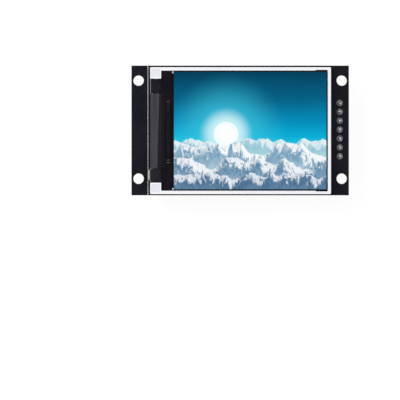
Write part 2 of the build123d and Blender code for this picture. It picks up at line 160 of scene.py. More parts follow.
class Wiring:
    """Adds nodes to the node tree of a material or a world, and joins them."""

    def __init__(self, owner: bpy.types.Material | bpy.types.World) -> None:
        """Empties the owner's node tree.

        Args:
            owner: The material or the world.
        """
        owner.use_nodes = True
        self.tree = owner.node_tree
        self.tree.nodes.clear()

    def feed(self, target: Socket, value: Feed) -> None:
        """Gives an input a link, a number, a vector or a colour.

        Args:
            target: The input.
            value: A socket to link, or the constant to write.
        """
        if isinstance(value, bpy.types.NodeSocket):
            self.tree.links.new(value, target)
        elif isinstance(value, tuple) and len(target.default_value) == 4:
            target.default_value = (*value, 1.0)
        else:
            target.default_value = value

    def node(self, kind: str, feeds: dict[str | int, Feed] | None = None,
             **options: object) -> bpy.types.Node:
        """Adds a node, sets its options and feeds its inputs.

        Args:
            kind: Blender's name of the node type, without ShaderNode in front.
            feeds: What goes into its inputs, by their names or places.
            **options: Options of the node.

        Returns:
            The new node.
        """
        made = self.tree.nodes.new("ShaderNode" + kind)
        for option, value in options.items():
            setattr(made, option, value)
        for name, value in (feeds or {}).items():
            self.feed(made.inputs[name], value)
        return made

    def math(self, operation: str, first: Value, second: Value = 0.0) -> Socket:
        """Joins two numbers by one of Blender's operations."""
        return self.node("Math", {0: first, 1: second}, operation=operation).outputs[0]

    def plus(self, first: Value, second: Value) -> Socket:
        """The sum of two numbers."""
        return self.math("ADD", first, second)

    def minus(self, first: Value, second: Value) -> Socket:
        """The first number less the second."""
        return self.math("SUBTRACT", first, second)

    def times(self, first: Value, second: Value) -> Socket:
        """The product of two numbers."""
        return self.math("MULTIPLY", first, second)

    def ease(self, value: Value, start: float, stop: float, low: float = 0.0,
             high: float = 1.0) -> Socket:
        """A smooth step from low to high as value goes from start to stop."""
        ends = {"From Min": start, "From Max": stop, "To Min": low, "To Max": high}
        return self.node("MapRange", {"Value": value, **ends},
                         interpolation_type="SMOOTHSTEP").outputs["Result"]


class Recipe(Wiring):
    """The shader nodes of one finish, with patterns in millimetres on the object."""

    def __init__(self, name: str) -> None:
        """Makes a material with one Principled shader.

        Args:
            name: Name of the material.
        """
        self.material = bpy.data.materials.new(name)
        super().__init__(self.material)
        self.shader = self.node("BsdfPrincipled")
        self.node("OutputMaterial", {"Surface": self.shader.outputs["BSDF"]})
        where = self.node("TexCoord").outputs["Object"]
        self.point = self.node("VectorMath", {0: where, "Scale": 1.0 / METRES},
                               operation="SCALE").outputs[0]

    def axes(self) -> tuple[Socket, Socket, Socket]:
        """The three coordinates of the point."""
        return tuple(self.node("SeparateXYZ", {0: self.point}).outputs)

    def facing(self) -> Socket:
        """How far the surface faces straight up or down, 0 to 1."""
        normal = self.node("NewGeometry").outputs["Normal"]
        return self.math("ABSOLUTE", self.node("SeparateXYZ", {0: normal}).outputs[2])

    def over(self, pattern: Value, low: float, high: float) -> Socket:
        """A smooth step from low to high over the middle of a pattern's range of 0 to 1."""
        return self.ease(pattern, 0.3, 0.7, low, high)

    def upright(self) -> Socket:
        """1 where the surface stands upright and 0 where it lies level."""
        return self.over(self.facing(), 1.0, 0.0)

    def away(self, value: Value, middle: float) -> Socket:
        """How far a number is from a middle."""
        return self.math("ABSOLUTE", self.minus(value, middle))

    def within(self, value: Value, middle: float, reach: float, soft: float) -> Socket:
        """1 where value is nearer to middle than reach and 0 beyond, with an edge that soft."""
        return self.ease(self.away(value, middle), reach - soft / 2, reach + soft / 2, 1.0, 0.0)

    def waves(self, value: Value, pitch: float) -> Socket:
        """A sine along value with that pitch, -1 to 1."""
        return self.math("SINE", self.times(value, math.tau / pitch))

    def stretched(self, grain: float | Triple) -> Socket:
        """The point divided by the length of one grain, which may differ for each axis."""
        sizes = grain if isinstance(grain, tuple) else (grain,) * 3
        return self.node("VectorMath", {0: self.point, 1: sizes}, operation="DIVIDE").outputs[0]

    def noise(self, grain: float | Triple, detail: float = 2.0, rough: float = 0.5,
              twist: float = 0.0) -> Socket:
        """Cloudy noise of about 0 to 1: its grain, its finer layers, their weight, its twist."""
        layers = {"Scale": 1.0, "Detail": detail, "Roughness": rough, "Distortion": twist}
        return self.node("TexNoise", {"Vector": self.stretched(grain), **layers}).outputs[0]

    def skyline(self, along: Value, grains: float, start: float) -> Socket:
        """Noise along a line from start on, with so many grains for each unit of the line."""
        layers = {"Scale": 1.0, "Detail": 5.0, "Roughness": 0.5}
        return self.node("TexNoise", {"W": self.plus(self.times(along, grains), start), **layers},
                         noise_dimensions="1D").outputs[0]

    def blend(self, share: Value, first: Feed, second: Feed, way: str = "MIX") -> Socket:
        """Mixes a share of 0 to 1 of the second colour into the first."""
        return self.node("Mix", {0: share, 6: first, 7: second}, data_type="RGBA",
                         blend_type=way).outputs[2]

    def ramp(self, value: Value, stops: Sequence[tuple[float, Colour]]) -> Socket:
        """A run of colours along a number.

        Args:
            value: The number that is read.
            stops: Places and colours, in rising order.

        Returns:
            The colour.
        """
        made = self.node("ValToRGB", {0: value})
        points = made.color_ramp.elements
        while len(points) < len(stops):
            points.new(0.5)
        for point, (at, colour) in zip(points, stops):
            point.position = at
            point.color = (*colour, 1.0)
        return made.outputs[0]

    def relief(self, height: Value, depth: float, strength: float,
               under: Socket | None = None) -> Socket:
        """A bump so many millimetres deep of a pattern of 0 to 1, on another bump or on none."""
        base = {} if under is None else {"Normal": under}
        return self.node("Bump", {"Strength": strength, "Distance": depth * METRES,
                                  "Height": height, **base}).outputs[0]

    def lay(self, colour: Feed, roughness: Feed, shine: float, normal: Socket,
            metallic: Value = 0.0) -> None:
        """Feeds the shader's colour, roughness, specular level, normal and share of metal."""
        for name, value in (("Base Color", colour), ("Roughness", roughness), ("Normal", normal),
                            ("Specular IOR Level", shine), ("Metallic", metallic)):
            self.feed(self.shader.inputs[name], value)


# Finishes


@dataclass(frozen=True)
class Finish:
    """One finish of the display module."""

    name: str

    def make(self) -> bpy.types.Material:
        """Builds the material of this finish.

        Returns:
            The material.
        """
        recipe = Recipe(self.name)
        self.mix(recipe)
        return recipe.material

    def mix(self, recipe: Recipe) -> None:
        """Lays the finish down in the shader nodes of its material."""
        raise NotImplementedError


@dataclass(frozen=True)
class SolderMask(Finish):
    """Black lacquer of the board over its glass cloth, with bare laminate at the cut edges."""

    front: Colour
    back: Colour
    laminate: Colour
    board: Span
    mask_depth: float = 0.035
    ply: float = 0.19
    lift: float = 1.0
    cool: Colour = (0.7, 0.95, 1.35)

    def mix(self, recipe: Recipe) -> None:
        """Lays the finish down: two faces with a cool drift, and layered cloth at the edges.

        Args:
            recipe: The material's shader nodes.
        """
        height = recipe.axes()[2]
        middle = (self.board.low[2] + self.board.high[2]) / 2
        half = (self.board.high[2] - self.board.low[2]) / 2
        faces = recipe.blend(recipe.ease(height, middle - 0.2, middle + 0.2), self.back, self.front)
        drift = recipe.ease(recipe.noise((16.0, 16.0, 6.0)), 0.4, 0.65, 0.0, 0.5)
        mask = recipe.blend(drift, faces, self.cool, "MULTIPLY")
        mask = recipe.blend(1.0, mask, (self.lift,) * 3, "MULTIPLY")
        fibres = recipe.noise((0.45, 0.45, 0.07), 3.0, 0.7)
        layers = recipe.plus(fibres, recipe.times(recipe.waves(height, self.ply), 0.06))
        cloth = recipe.blend(recipe.ease(layers, 0.36, 0.66), self.laminate,
                             scaled(self.laminate, 0.6))
        rim = recipe.within(height, middle, half - self.mask_depth, 0.02)
        cut = recipe.times(recipe.upright(), rim)
        satin = recipe.ease(recipe.noise(3.0, 4.0, 0.6), 0.3, 0.75, 0.30, 0.42)
        weave = recipe.times(recipe.noise((0.5, 2.4, 1.0), 1.0), recipe.noise((2.4, 0.5, 1.0), 1.0))
        under = recipe.relief(weave, 0.02, 0.35)
        recipe.lay(recipe.blend(cut, mask, cloth), recipe.plus(satin, recipe.times(cut, 0.4)), 0.13,
                   recipe.relief(recipe.noise(0.16), 0.004, 0.5, under))


@dataclass(frozen=True)
class PrintedInk(Finish):
    """White ink, thinner in places."""

    full: Colour
    thin: Colour

    def mix(self, recipe: Recipe) -> None:
        """Lays the finish down: one noise thins the ink and dulls it.

        Args:
            recipe: The material's shader nodes.
        """
        cover = recipe.noise(0.32, 4.0, 0.65)
        recipe.lay(recipe.blend(recipe.ease(cover, 0.34, 0.56), self.thin, self.full),
                   recipe.over(cover, 0.7, 0.5), 0.3,
                   recipe.relief(recipe.noise(0.06), 0.004, 0.6))


@dataclass(frozen=True)
class Plating(Finish):
    """Metal with its small ripples, smears and dull spots."""

    tone: Colour
    dull: Colour
    gloss: float
    matt: float
    ripple: Triple
    ripple_depth: float

    def mix(self, recipe: Recipe) -> None:
        """Lays the finish down: smears three ripples long, and the ripples as a bump.

        Args:
            recipe: The material's shader nodes.
        """
        smear = recipe.noise(scaled(self.ripple, 3.0), 4.0, 0.6)
        recipe.lay(recipe.blend(recipe.ease(smear, 0.42, 0.7), self.tone, self.dull),
                   recipe.ease(smear, 0.3, 0.72, self.gloss, self.matt), 0.5,
                   recipe.relief(recipe.noise(self.ripple, 3.0), self.ripple_depth, 0.7), 1.0)


@dataclass(frozen=True)
class Moulding(Finish):
    """A moulded or coated plastic, paint or film with a fine grain."""

    tone: Colour
    shade: Colour
    gloss: float
    matt: float
    grain: float = 0.08
    grain_depth: float = 0.006
    shine: float = 0.35

    def mix(self, recipe: Recipe) -> None:
        """Lays the finish down: patches of 3 mm, and the grain as a bump.

        Args:
            recipe: The material's shader nodes.
        """
        patches = recipe.noise(3.0, 3.0)
        recipe.lay(recipe.blend(recipe.ease(patches, 0.35, 0.7), self.tone, self.shade),
                   recipe.over(patches, self.gloss, self.matt), self.shine,
                   recipe.relief(recipe.noise(self.grain), self.grain_depth, 0.8))


@dataclass(frozen=True)
class ChipBody(Finish):
    """A small chip: a glazed or ceramic middle between two plated ends."""

    body: Colour
    body_shade: Colour
    middle_x: float
    half_body: float
    gloss: float
    metal: Colour = (0.76, 0.76, 0.78)
    metal_gloss: float = 0.34

    def mix(self, recipe: Recipe) -> None:
        """Lays the finish down: the specked body as far as the ends, and metal beyond.

        Args:
            recipe: The material's shader nodes.
        """
        body = recipe.within(recipe.axes()[0], self.middle_x, self.half_body, 0.02)
        plated = recipe.minus(1.0, body)
        speck = recipe.noise(0.09, 3.0, 0.7)
        glaze = recipe.blend(recipe.ease(speck, 0.4, 0.65), self.body, self.body_shade)
        rough = recipe.blend(plated, (self.gloss,) * 3, (self.metal_gloss,) * 3)
        recipe.lay(recipe.blend(plated, glaze, self.metal), rough, 0.35,
                   recipe.relief(speck, 0.008, 0.7), plated)


@dataclass(frozen=True)
class CellGlass(Finish):
    """Dark glass of the cell with its fine conductor lines and green cut edges."""

    deep: Colour
    warm: Colour
    edge: Colour
    line_pitch: float

    def mix(self, recipe: Recipe) -> None:
        """Lays the finish down: a drifting tint, paler lines across it, and green sides.

        Args:
            recipe: The material's shader nodes.
        """
        tint = recipe.ease(recipe.noise((2.2, 5.0, 2.0)), 0.38, 0.64)
        comb = recipe.waves(recipe.axes()[1], self.line_pitch)
        drawn = recipe.blend(recipe.ease(comb, 0.2, 0.9, 0.0, 0.35),
                             recipe.blend(tint, self.deep, self.warm), scaled(self.warm, 1.8))
        side = recipe.upright()
        recipe.lay(recipe.blend(side, drawn, self.edge),
                   recipe.plus(recipe.times(side, 0.3), 0.07), 0.18,
                   recipe.relief(comb, 0.002, 0.3))


@dataclass(frozen=True)
class Hill:
    """One row of snowy hills in the picture: lengths up are shares of the picture's height."""

    height: float
    swing: float
    grains: float
    start: float
    snow_line: float
    depth: float
    snow: Colour
    rock: Colour
    haze: Colour


@dataclass(frozen=True)
class Sun:
    """Pale disc low in the picture, in millimetres."""

    x: float
    y: float
    radius: float
    inside: Colour
    edge: Colour
    near_glow: Colour
    far_glow: Colour
    near_reach: float = 2.3
    far_reach: float = 5.2
    soft: float = 0.2


@dataclass(frozen=True)
class LitScreen(Finish):
    """The lit picture under the front polariser: a low sun behind snowy hills, in a dark rim."""

    film: Span
    rim_side: float
    rim_top: float
    rim: Colour
    sky: tuple[tuple[float, Colour], ...]
    hills: tuple[Hill, ...]
    sun: Sun
    fold: float = 5.0
    lean_reach: float = 0.02
    lean_melt: float = 1.8
    lean_shade: float = 3.0
    foot_melt: float = 0.30
    sky_drift: float = 0.08

    def crest(self, recipe: Recipe, along: Value, hill: Hill) -> Socket:
        """Height of a row of hills: noise folded about its middle, which makes sharp tops.

        Args:
            recipe: The material's shader nodes.
            along: Place across the picture, 0 to 1.
            hill: The row.

        Returns:
            The height, a share of the picture's height.
        """
        wave = recipe.skyline(along, hill.grains, hill.start)
        drop = recipe.times(recipe.away(wave, 0.5), self.fold * hill.swing)
        return recipe.minus(hill.height + hill.swing, drop)

    def row(self, recipe: Recipe, beneath: Socket, hill: Hill, along: Socket, up: Socket) -> Socket:
        """Lays one row of snowy hills over the picture.

        Snow gives way to rock in gullies, down the slope and on the side that leans one way.

        Args:
            recipe: The material's shader nodes.
            beneath: Picture so far.
            hill: The row.
            along: Place across the picture, 0 to 1.
            up: Place up the picture, 0 to 1.

        Returns:
            The picture with that row on it.
        """
        below = recipe.minus(self.crest(recipe, along, hill), up)
        ahead = self.crest(recipe, recipe.plus(along, self.lean_reach), hill)
        behind = self.crest(recipe, recipe.minus(along, self.lean_reach), hill)
        lean = recipe.minus(ahead, behind)
        share = recipe.math("DIVIDE", below, hill.depth)
        gully = recipe.noise((1.5, 3.6, 9.0), 6.0, 0.66, 1.1)
        cover = recipe.plus(gully, recipe.times(share, self.foot_melt))
        cover = recipe.plus(cover, recipe.times(lean, self.lean_melt))
        bare = recipe.ease(cover, hill.snow_line - 0.05, hill.snow_line + 0.07)
        crag = recipe.noise((0.55, 1.3, 9.0), 4.0, 0.6)
        dim = recipe.ease(recipe.plus(crag, recipe.times(lean, self.lean_shade)), 0.42, 0.72)
        snow = recipe.blend(dim, hill.snow, recipe.blend(0.5, hill.snow, hill.rock))
        rock = recipe.blend(recipe.ease(crag, 0.38, 0.6), hill.rock,
                            recipe.blend(0.35, hill.rock, hill.haze))
        misty = recipe.blend(recipe.ease(share, 0.6, 1.7, 0.0, 0.9),
                             recipe.blend(bare, snow, rock), hill.haze)
        return recipe.blend(recipe.ease(below, -0.003, 0.003), beneath, misty)

    def sunlit(self, recipe: Recipe, sky: Socket, x: Socket, y: Socket) -> Socket:
        """Lays the sun's wide glow, its near glow and its disc over the sky.

        Args:
            recipe: The material's shader nodes.
            sky: Picture so far.
            x: Place along X, in millimetres.
            y: Place along Y, in millimetres.

        Returns:
            The picture with the sun on it.
        """
        sun, size = self.sun, self.sun.radius
        reach = recipe.math("SQRT", recipe.plus(
            *(recipe.math("POWER", recipe.minus(at, middle), 2.0)
              for at, middle in ((x, sun.x), (y, sun.y)))))
        for glow, share, fade in ((sun.far_glow, 0.75, sun.far_reach),
                                  (sun.near_glow, 0.9, sun.near_reach)):
            sky = recipe.blend(recipe.ease(reach, size, fade * size, share, 0.0), sky, glow)
        disc = recipe.blend(recipe.ease(reach, 0.3 * size, size), sun.inside, sun.edge)
        edge = recipe.ease(reach, size - sun.soft / 2, size + sun.soft / 2, 1.0, 0.0)
        return recipe.blend(edge, sky, disc)

    def mix(self, recipe: Recipe) -> None:
        """Lays the picture down, lit from within, and the dark rim round it.

        Args:
            recipe: The material's shader nodes.
        """
        x, y, _ = recipe.axes()
        film = self.film
        along = recipe.math("DIVIDE", recipe.minus(x, film.low[0]), film.size(0))
        up = recipe.math("DIVIDE", recipe.minus(y, film.low[1]), film.size(1))
        drift = recipe.minus(recipe.noise((16.0, 6.0, 9.0), 3.0), 0.5)
        picture = recipe.ramp(recipe.plus(up, recipe.times(drift, self.sky_drift)), self.sky)
        picture = self.sunlit(recipe, picture, x, y)
        for hill in self.hills:
            picture = self.row(recipe, picture, hill, along, up)
        inside = recipe.times(
            recipe.within(x, (film.low[0] + film.high[0] - self.rim_side) / 2,
                          (film.size(0) - self.rim_side) / 2, 0.04),
            recipe.within(y, film.middle(1), film.size(1) / 2 - self.rim_top, 0.04))
        lit = recipe.times(inside, recipe.ease(recipe.facing(), 0.5, 0.9))
        recipe.lay(recipe.blend(lit, self.rim, (0.001, 0.002, 0.003)),
                   recipe.over(recipe.noise(6.0, 3.0), 0.12, 0.2), 0.09,
                   recipe.relief(recipe.noise(0.1), 0.001, 0.3))
        recipe.feed(recipe.shader.inputs["Emission Color"],
                    recipe.blend(lit, (0.0, 0.0, 0.0), picture))
        recipe.feed(recipe.shader.inputs["Emission Strength"], 1.0)


@dataclass(frozen=True)
class FlexFilm(Finish):
    """Dark film of the folded circuit with conductors, greyed over the fold by painted reflection
    in streaks.
    """

    # The first two colours are painted sheen, a reflection off the fold in streaks; the third is
    # the film's own dark.
    grey: Colour
    streak: Colour
    dark: Colour
    fold_x: float
    bond_x: float
    bond_slant: float
    conductor_pitch: float
    # These two fields place and brighten the painted highlight just before the bond.
    ridge_gap: float = 0.32
    ridge_gain: Colour = (1.3, 1.3, 1.28)

    def mix(self, recipe: Recipe) -> None:
        """Lays the finish down: painted sheen in streaks, a painted highlight before the bond,
        painted shade at the fold, and dark beyond the bond.

        Args:
            recipe: The material's shader nodes.
        """
        x, y, _ = recipe.axes()
        # Painted reflection: streaks of grey sheen running along Y, as if the curved fold mirrored
        # the lamps.
        streak_sheen_mask = recipe.noise((0.34, 26.0, 3.0), 3.0, 0.6)
        film = recipe.blend(recipe.ease(streak_sheen_mask, 0.38, 0.62), self.grey, self.streak)
        leaned = recipe.minus(x, recipe.times(y, self.bond_slant))
        # Painted highlight: a paler band just before the bond, where the crease would catch the
        # light.
        crease_highlight = recipe.times(recipe.within(leaned, self.bond_x - self.ridge_gap, 0.2, 0.3), 0.6)
        highlighted = recipe.blend(crease_highlight, film, self.ridge_gain, "MULTIPLY")
        # Painted shade: the part of the film that turns down at the fold is darkened.
        fold_shade = recipe.ease(x, self.fold_x - 0.5, self.fold_x + 0.1, 0.78, 1.0)
        shaded = recipe.blend(1.0, highlighted, fold_shade, "MULTIPLY")
        # This dark is the film's own tone where the painted sheen stops, and on the slope up to the
        # glass it is painted shade as well.
        bonded = recipe.ease(leaned, self.bond_x - 0.08, self.bond_x + 0.12)
        comb = recipe.waves(y, self.conductor_pitch)
        ribs = recipe.relief(recipe.ease(comb, -0.4, 0.4), 0.008, 0.35)
        recipe.lay(recipe.blend(bonded, shaded, self.dark),
                   recipe.over(streak_sheen_mask, 0.34, 0.5), 0.11,
                   recipe.relief(recipe.noise((0.7, 7.0, 1.4), 3.0), 0.02, 0.4, ribs))


@dataclass(frozen=True)
class ShadedTape(Finish):
    """Black adhesive tape, a little paler towards one end, with faint wrinkles."""

    upper: Colour
    lower: Colour
    turn_y: float
    turn_reach: float = 6.0

    def mix(self, recipe: Recipe) -> None:
        """Lays the finish down: the two tones, dust over them, and the wrinkles as a bump.

        Args:
            recipe: The material's shader nodes.
        """
        turn = recipe.ease(recipe.axes()[1], self.turn_y - self.turn_reach,
                           self.turn_y + self.turn_reach)
        dust = recipe.noise(0.5, 4.0, 0.6)
        tape = recipe.blend(turn, self.lower, self.upper)
        recipe.lay(recipe.blend(recipe.ease(dust, 0.45, 0.8, 0.0, 0.5), tape,
                                scaled(self.lower, 1.9)),
                   recipe.over(dust, 0.42, 0.58), 0.08,
                   recipe.relief(recipe.noise((1.6, 2.4, 1.0)), 0.02, 0.5))


@dataclass(frozen=True)
class FrameMoulding(Finish):
    """White moulding of the frame, greyer by painted shade in its posts' recesses and on the step
    of its end.
    """

    tone: Colour
    shade: Colour
    # Grey of the painted shade on the recesses' floors.
    recess: Colour
    recess_height: float
    # Grey of the painted shadow on the step at the frame's end.
    step: Colour
    step_height: float
    step_x: float

    def mix(self, recipe: Recipe) -> None:
        """Lays the finish down: white patches, painted shade on the recesses' floors and painted
        shadow on the step.

        Args:
            recipe: The material's shader nodes.
        """
        x, _, height = recipe.axes()
        patches = recipe.noise(7.0, 3.0)
        outer = recipe.blend(recipe.ease(patches, 0.35, 0.7), self.tone, self.shade)
        # Painted shade: the floors of the posts' recesses are greyed.
        hollow = recipe.blend(recipe.within(height, self.recess_height, 0.03, 0.02), outer,
                              self.recess)
        # Painted shadow: the step at the frame's left end is tinted dim grey.
        level = recipe.times(recipe.within(height, self.step_height, 0.02, 0.02),
                             recipe.ease(x, self.step_x - 0.1, self.step_x + 0.1, 1.0, 0.0))
        recipe.lay(recipe.blend(level, hollow, self.step),
                   recipe.over(patches, 0.36, 0.5), 0.3,
                   recipe.relief(recipe.noise((0.9, 0.9, 0.25)), 0.004, 0.5))


@dataclass(frozen=True)
class TailFilm(Finish):
    """The lamp strip's film: pale round the fold with darker long edges, coated on the frame."""

    middle: Colour
    edge: Colour
    coat: Colour
    middle_y: float
    half_width: float
    coat_x: float
    coat_height: float = 2.9

    def mix(self, recipe: Recipe) -> None:
        """Lays the finish down: the mottled middle, the edges and the black coat.

        Args:
            recipe: The material's shader nodes.
        """
        x, y, height = recipe.axes()
        mottle = recipe.noise((0.5, 1.2, 0.5), 3.0)
        toned = recipe.blend(recipe.ease(mottle, 0.35, 0.7, 0.0, 0.35), self.middle, self.edge)
        pale = recipe.blend(recipe.within(y, self.middle_y, self.half_width - 0.25, 0.3),
                            self.edge, toned)
        coated = recipe.times(recipe.ease(height, self.coat_height, self.coat_height + 0.1),
                              recipe.ease(x, self.coat_x - 0.1, self.coat_x + 0.1))
        recipe.lay(recipe.blend(coated, pale, self.coat), recipe.over(mottle, 0.4, 0.5),
                   0.25, recipe.relief(mottle, 0.01, 0.5))


@dataclass(frozen=True)
class Foam(Finish):
    """Open white foam with pores, with painted shade deep in each pore."""

    tone: Colour
    # Grey of the painted shade deep in the pores.
    pore: Colour
    pore_size: float

    def mix(self, recipe: Recipe) -> None:
        """Lays the finish down: cells that are deep, with painted shade darkening their middles.

        Args:
            recipe: The material's shader nodes.
        """
        cells = recipe.node("TexVoronoi", {"Vector": recipe.stretched(self.pore_size),
                                           "Scale": 1.0})
        # Painted shade: the middle of each cell is darkened, as well as bumped.
        depth = recipe.ease(cells.outputs["Distance"], 0.1, 0.5)
        recipe.lay(recipe.blend(depth, self.pore, self.tone), 0.9, 0.15,
                   recipe.relief(depth, 0.08, 0.8))


# Surfaces from formulas


@dataclass
class Surface:
    """A meshed surface: points in millimetres and faces of four corners."""

    points: Array
    faces: Array

    @classmethod
    def woven(cls, grid: Array, ring_rows: bool = False, ring_columns: bool = False) -> "Surface":
        """Makes a surface of a grid of points.

        Args:
            grid: Points of shape (rows, columns, 3).
            ring_rows: Whether the last row joins the first.
            ring_columns: Whether the last column joins the first.

        Returns:
            The surface. Its faces point along (step of columns) x (step of rows).
        """
        rows, columns = grid.shape[:2]
        index = np.arange(rows * columns).reshape(rows, columns)
        if ring_rows:
            index = np.vstack([index, index[:1]])
        if ring_columns:
            index = np.hstack([index, index[:, :1]])
        corners = (index[:-1, :-1], index[:-1, 1:], index[1:, 1:], index[1:, :-1])
        return cls(grid.reshape(-1, 3), np.stack(corners, axis=-1).reshape(-1, 4))

    @classmethod
    def joined(cls, parts: Sequence["Surface"]) -> "Surface":
        """Puts several surfaces into one.

        Args:
            parts: The surfaces.

        Returns:
            The one surface.
        """
        starts = np.cumsum([0] + [len(part.points) for part in parts[:-1]])
        faces = [part.faces + start for part, start in zip(parts, starts)]
        return cls(np.concatenate([part.points for part in parts]), np.concatenate(faces))

    def stand(self, name: str) -> bpy.types.Object:
        """Puts the surface into the scene as a mesh, in metres.

        Args:
            name: Name of the object and of its mesh.

        Returns:
            The object.
        """
        mesh = bpy.data.meshes.new(name)
        mesh.from_pydata((self.points * METRES).tolist(), [], self.faces.tolist())
        return stand(name, mesh)


def stand(name: str, data: bpy.types.ID) -> bpy.types.Object:
    """Puts a mesh, a lamp or a camera into the scene.

    Args:
        name: Name of the object.
        data: The mesh, lamp or camera.

    Returns:
        The object.
    """
    made = bpy.data.objects.new(name, data)
    bpy.context.scene.collection.objects.link(made)
    return made


def ribbon(path: Array, normal: Array, width: float, height: float, ring: bool = False,
           blunt: bool = False) -> Surface:
    """A low bar laid along a line, with a domed top and round or blunt ends.

    At a point P of the line, with direction T and mitred side S = T x N, the section is
    P + a(t) S w/2 + b(t) N h, where (a, b) runs once round a flat dome whose foot lies a
    little under the surface. Beyond an open end the width and the height close as the
    cosine of an angle while the line goes on by its sine, which rounds the end. A blunt
    end closes on the spot instead.

    Args:
        path: Points of the line, shape (n, 3).
        normal: Direction out of the surface that carries it.
        width: Width of the bar.
        height: Height of the bar.
        ring: Whether the line is closed.
        blunt: Whether an open line ends square.

    Returns:
        The closed surface of the bar.
    """
    mitre_limit, shoulder, sink = 1.5, 0.84, 0.3
    if ring:
        ahead = np.roll(path, -1, axis=0) - path
        ahead /= np.linalg.norm(ahead, axis=1, keepdims=True)
        behind = np.roll(ahead, 1, axis=0)
        scale = np.ones(len(path))
    else:
        steps = np.diff(path, axis=0)
        steps /= np.linalg.norm(steps, axis=1, keepdims=True)
        angle = np.radians([90.0, 60.0, 30.0])
        closing = np.array([0.0, 0.94, 1.0]) if blunt else np.cos(angle)
        reach = (height if blunt else width / 2) * np.sin(angle)[:, None]
        path = np.concatenate([path[0] - reach * steps[0], path,
                               path[-1] + reach[::-1] * steps[-1]])
        first, last = np.repeat(steps[:1], 3, axis=0), np.repeat(steps[-1:], 3, axis=0)
        behind = np.concatenate([first, steps[:1], steps, last])
        ahead = np.concatenate([first, steps, steps[-1:], last])
        scale = np.concatenate([closing, np.ones(len(path) - 6), closing[::-1]])
    middle = ahead + behind
    length = np.linalg.norm(middle, axis=1, keepdims=True)
    side = np.cross(middle / length, normal) * np.minimum(2.0 / length, mitre_limit)
    across = np.array([-1.0, -shoulder, 0.0, shoulder, 1.0, 0.0])
    lift = np.array([-sink, 0.86, 1.0, 0.86, -sink, -sink])
    reach_out = (side * (width / 2) * scale[:, None])[:, None, :] * across[None, :, None]
    rise = np.asarray(normal, float) * height * lift[:, None]
    grid = path[:, None, :] + reach_out + rise[None, :, :] * np.sqrt(scale)[:, None, None]
    return Surface.woven(grid, ring_rows=ring, ring_columns=True)


def turned(radius: Array, height: Array, centre: Place, segments: int,
           lean: Array | float = 0.0) -> Surface:
    """A closed surface of revolution about a line along Z, which may lean and bulge.

    The point at angle A in row k is centre + r_k (1 + d_k(A)) (cos A, sin A) + z_k, where d
    is the share by which that row leaves its circle at that angle.

    Args:
        radius: Radius of each row. The first and the last are 0, so that both poles close.
        height: Height of each row.
        centre: Place of the axis, x and y.
        segments: Number of points round.
        lean: Share by which each point leaves its circle, shape (rows, segments).

    Returns:
        The closed surface.
    """
    angle = np.linspace(0.0, math.tau, segments, endpoint=False)
    reach = radius[:, None] * (1.0 + lean) * np.ones(segments)
    x = centre[0] + reach * np.cos(angle)
    y = centre[1] + reach * np.sin(angle)
    z = np.repeat(height[:, None], segments, axis=1)
    return Surface.woven(np.stack([x, y, z], axis=-1), ring_columns=True)


def bow(centre: Place, radii: Place, start: float, stop: float, count: int = 9) -> Array:
    """Points on an arc of an ellipse: the centre plus (a cos A, b sin A).

    Args:
        centre: Middle of the ellipse.
        radii: Half its width and half its height.
        start: First angle in degrees.
        stop: Last angle in degrees.
        count: Number of points.

    Returns:
        Points of shape (count, 2).
    """
    angle = np.radians(np.linspace(start, stop, count))
    return np.array(centre) + np.stack([radii[0] * np.cos(angle), radii[1] * np.sin(angle)], -1)


class Side(Enum):
    """The two faces of the board that carry print: reading direction, up direction and way out."""

    FRONT = ((1.0, 0.0, 0.0), (0.0, 1.0, 0.0), (0.0, 0.0, 1.0))
    BACK = ((1.0, 0.0, 0.0), (0.0, -1.0, 0.0), (0.0, 0.0, -1.0))
    BACK_TURNED = ((0.0, 1.0, 0.0), (1.0, 0.0, 0.0), (0.0, 0.0, -1.0))

    def point(self, origin: Array, plan: Array) -> Array:
        """Carries flat points, measured from an origin, onto the board."""
        right, up, _ = (np.array(v) for v in self.value)
        return origin + plan[:, :1] * right + plan[:, 1:] * up

    def out(self) -> Array:
        """Direction out of the board."""
        return np.array(self.value[2])

    def level(self) -> float:
        """Height of that face of the board."""
        board = Span.of("circuit_board")
        return board.high[2] if self is Side.FRONT else board.low[2]

    def bar(self, places: Sequence[Place], width: float, height: float, ring: bool = False,
            blunt: bool = False) -> Surface:
        """A low bar through several places on that face of the board.

        Args:
            places: Its places, x and y.
            width: Width of the bar.
            height: Height of the bar.
            ring: Whether it is closed.
            blunt: Whether it ends square.

        Returns:
            The surface of the bar.
        """
        path = np.column_stack([np.array(places, float), np.full(len(places), self.level())])
        return ribbon(path, self.out(), width, height, ring, blunt)


def rectangle(low: Place, high: Place) -> list[Place]:
    """The four corners of a rectangle, in order."""
    return [low, (high[0], low[1]), high, (low[0], high[1])]


@dataclass(frozen=True)
class Stroke:
    """One line of a numeral, in a box 0.6 wide and 1 high."""

    line: Array
    ring: bool = False

    @classmethod
    def hoop(cls, centre: Place, radii: Place) -> "Stroke":
        """A closed ellipse."""
        return cls(bow(centre, radii, 0.0, 360.0, 17)[:-1], True)


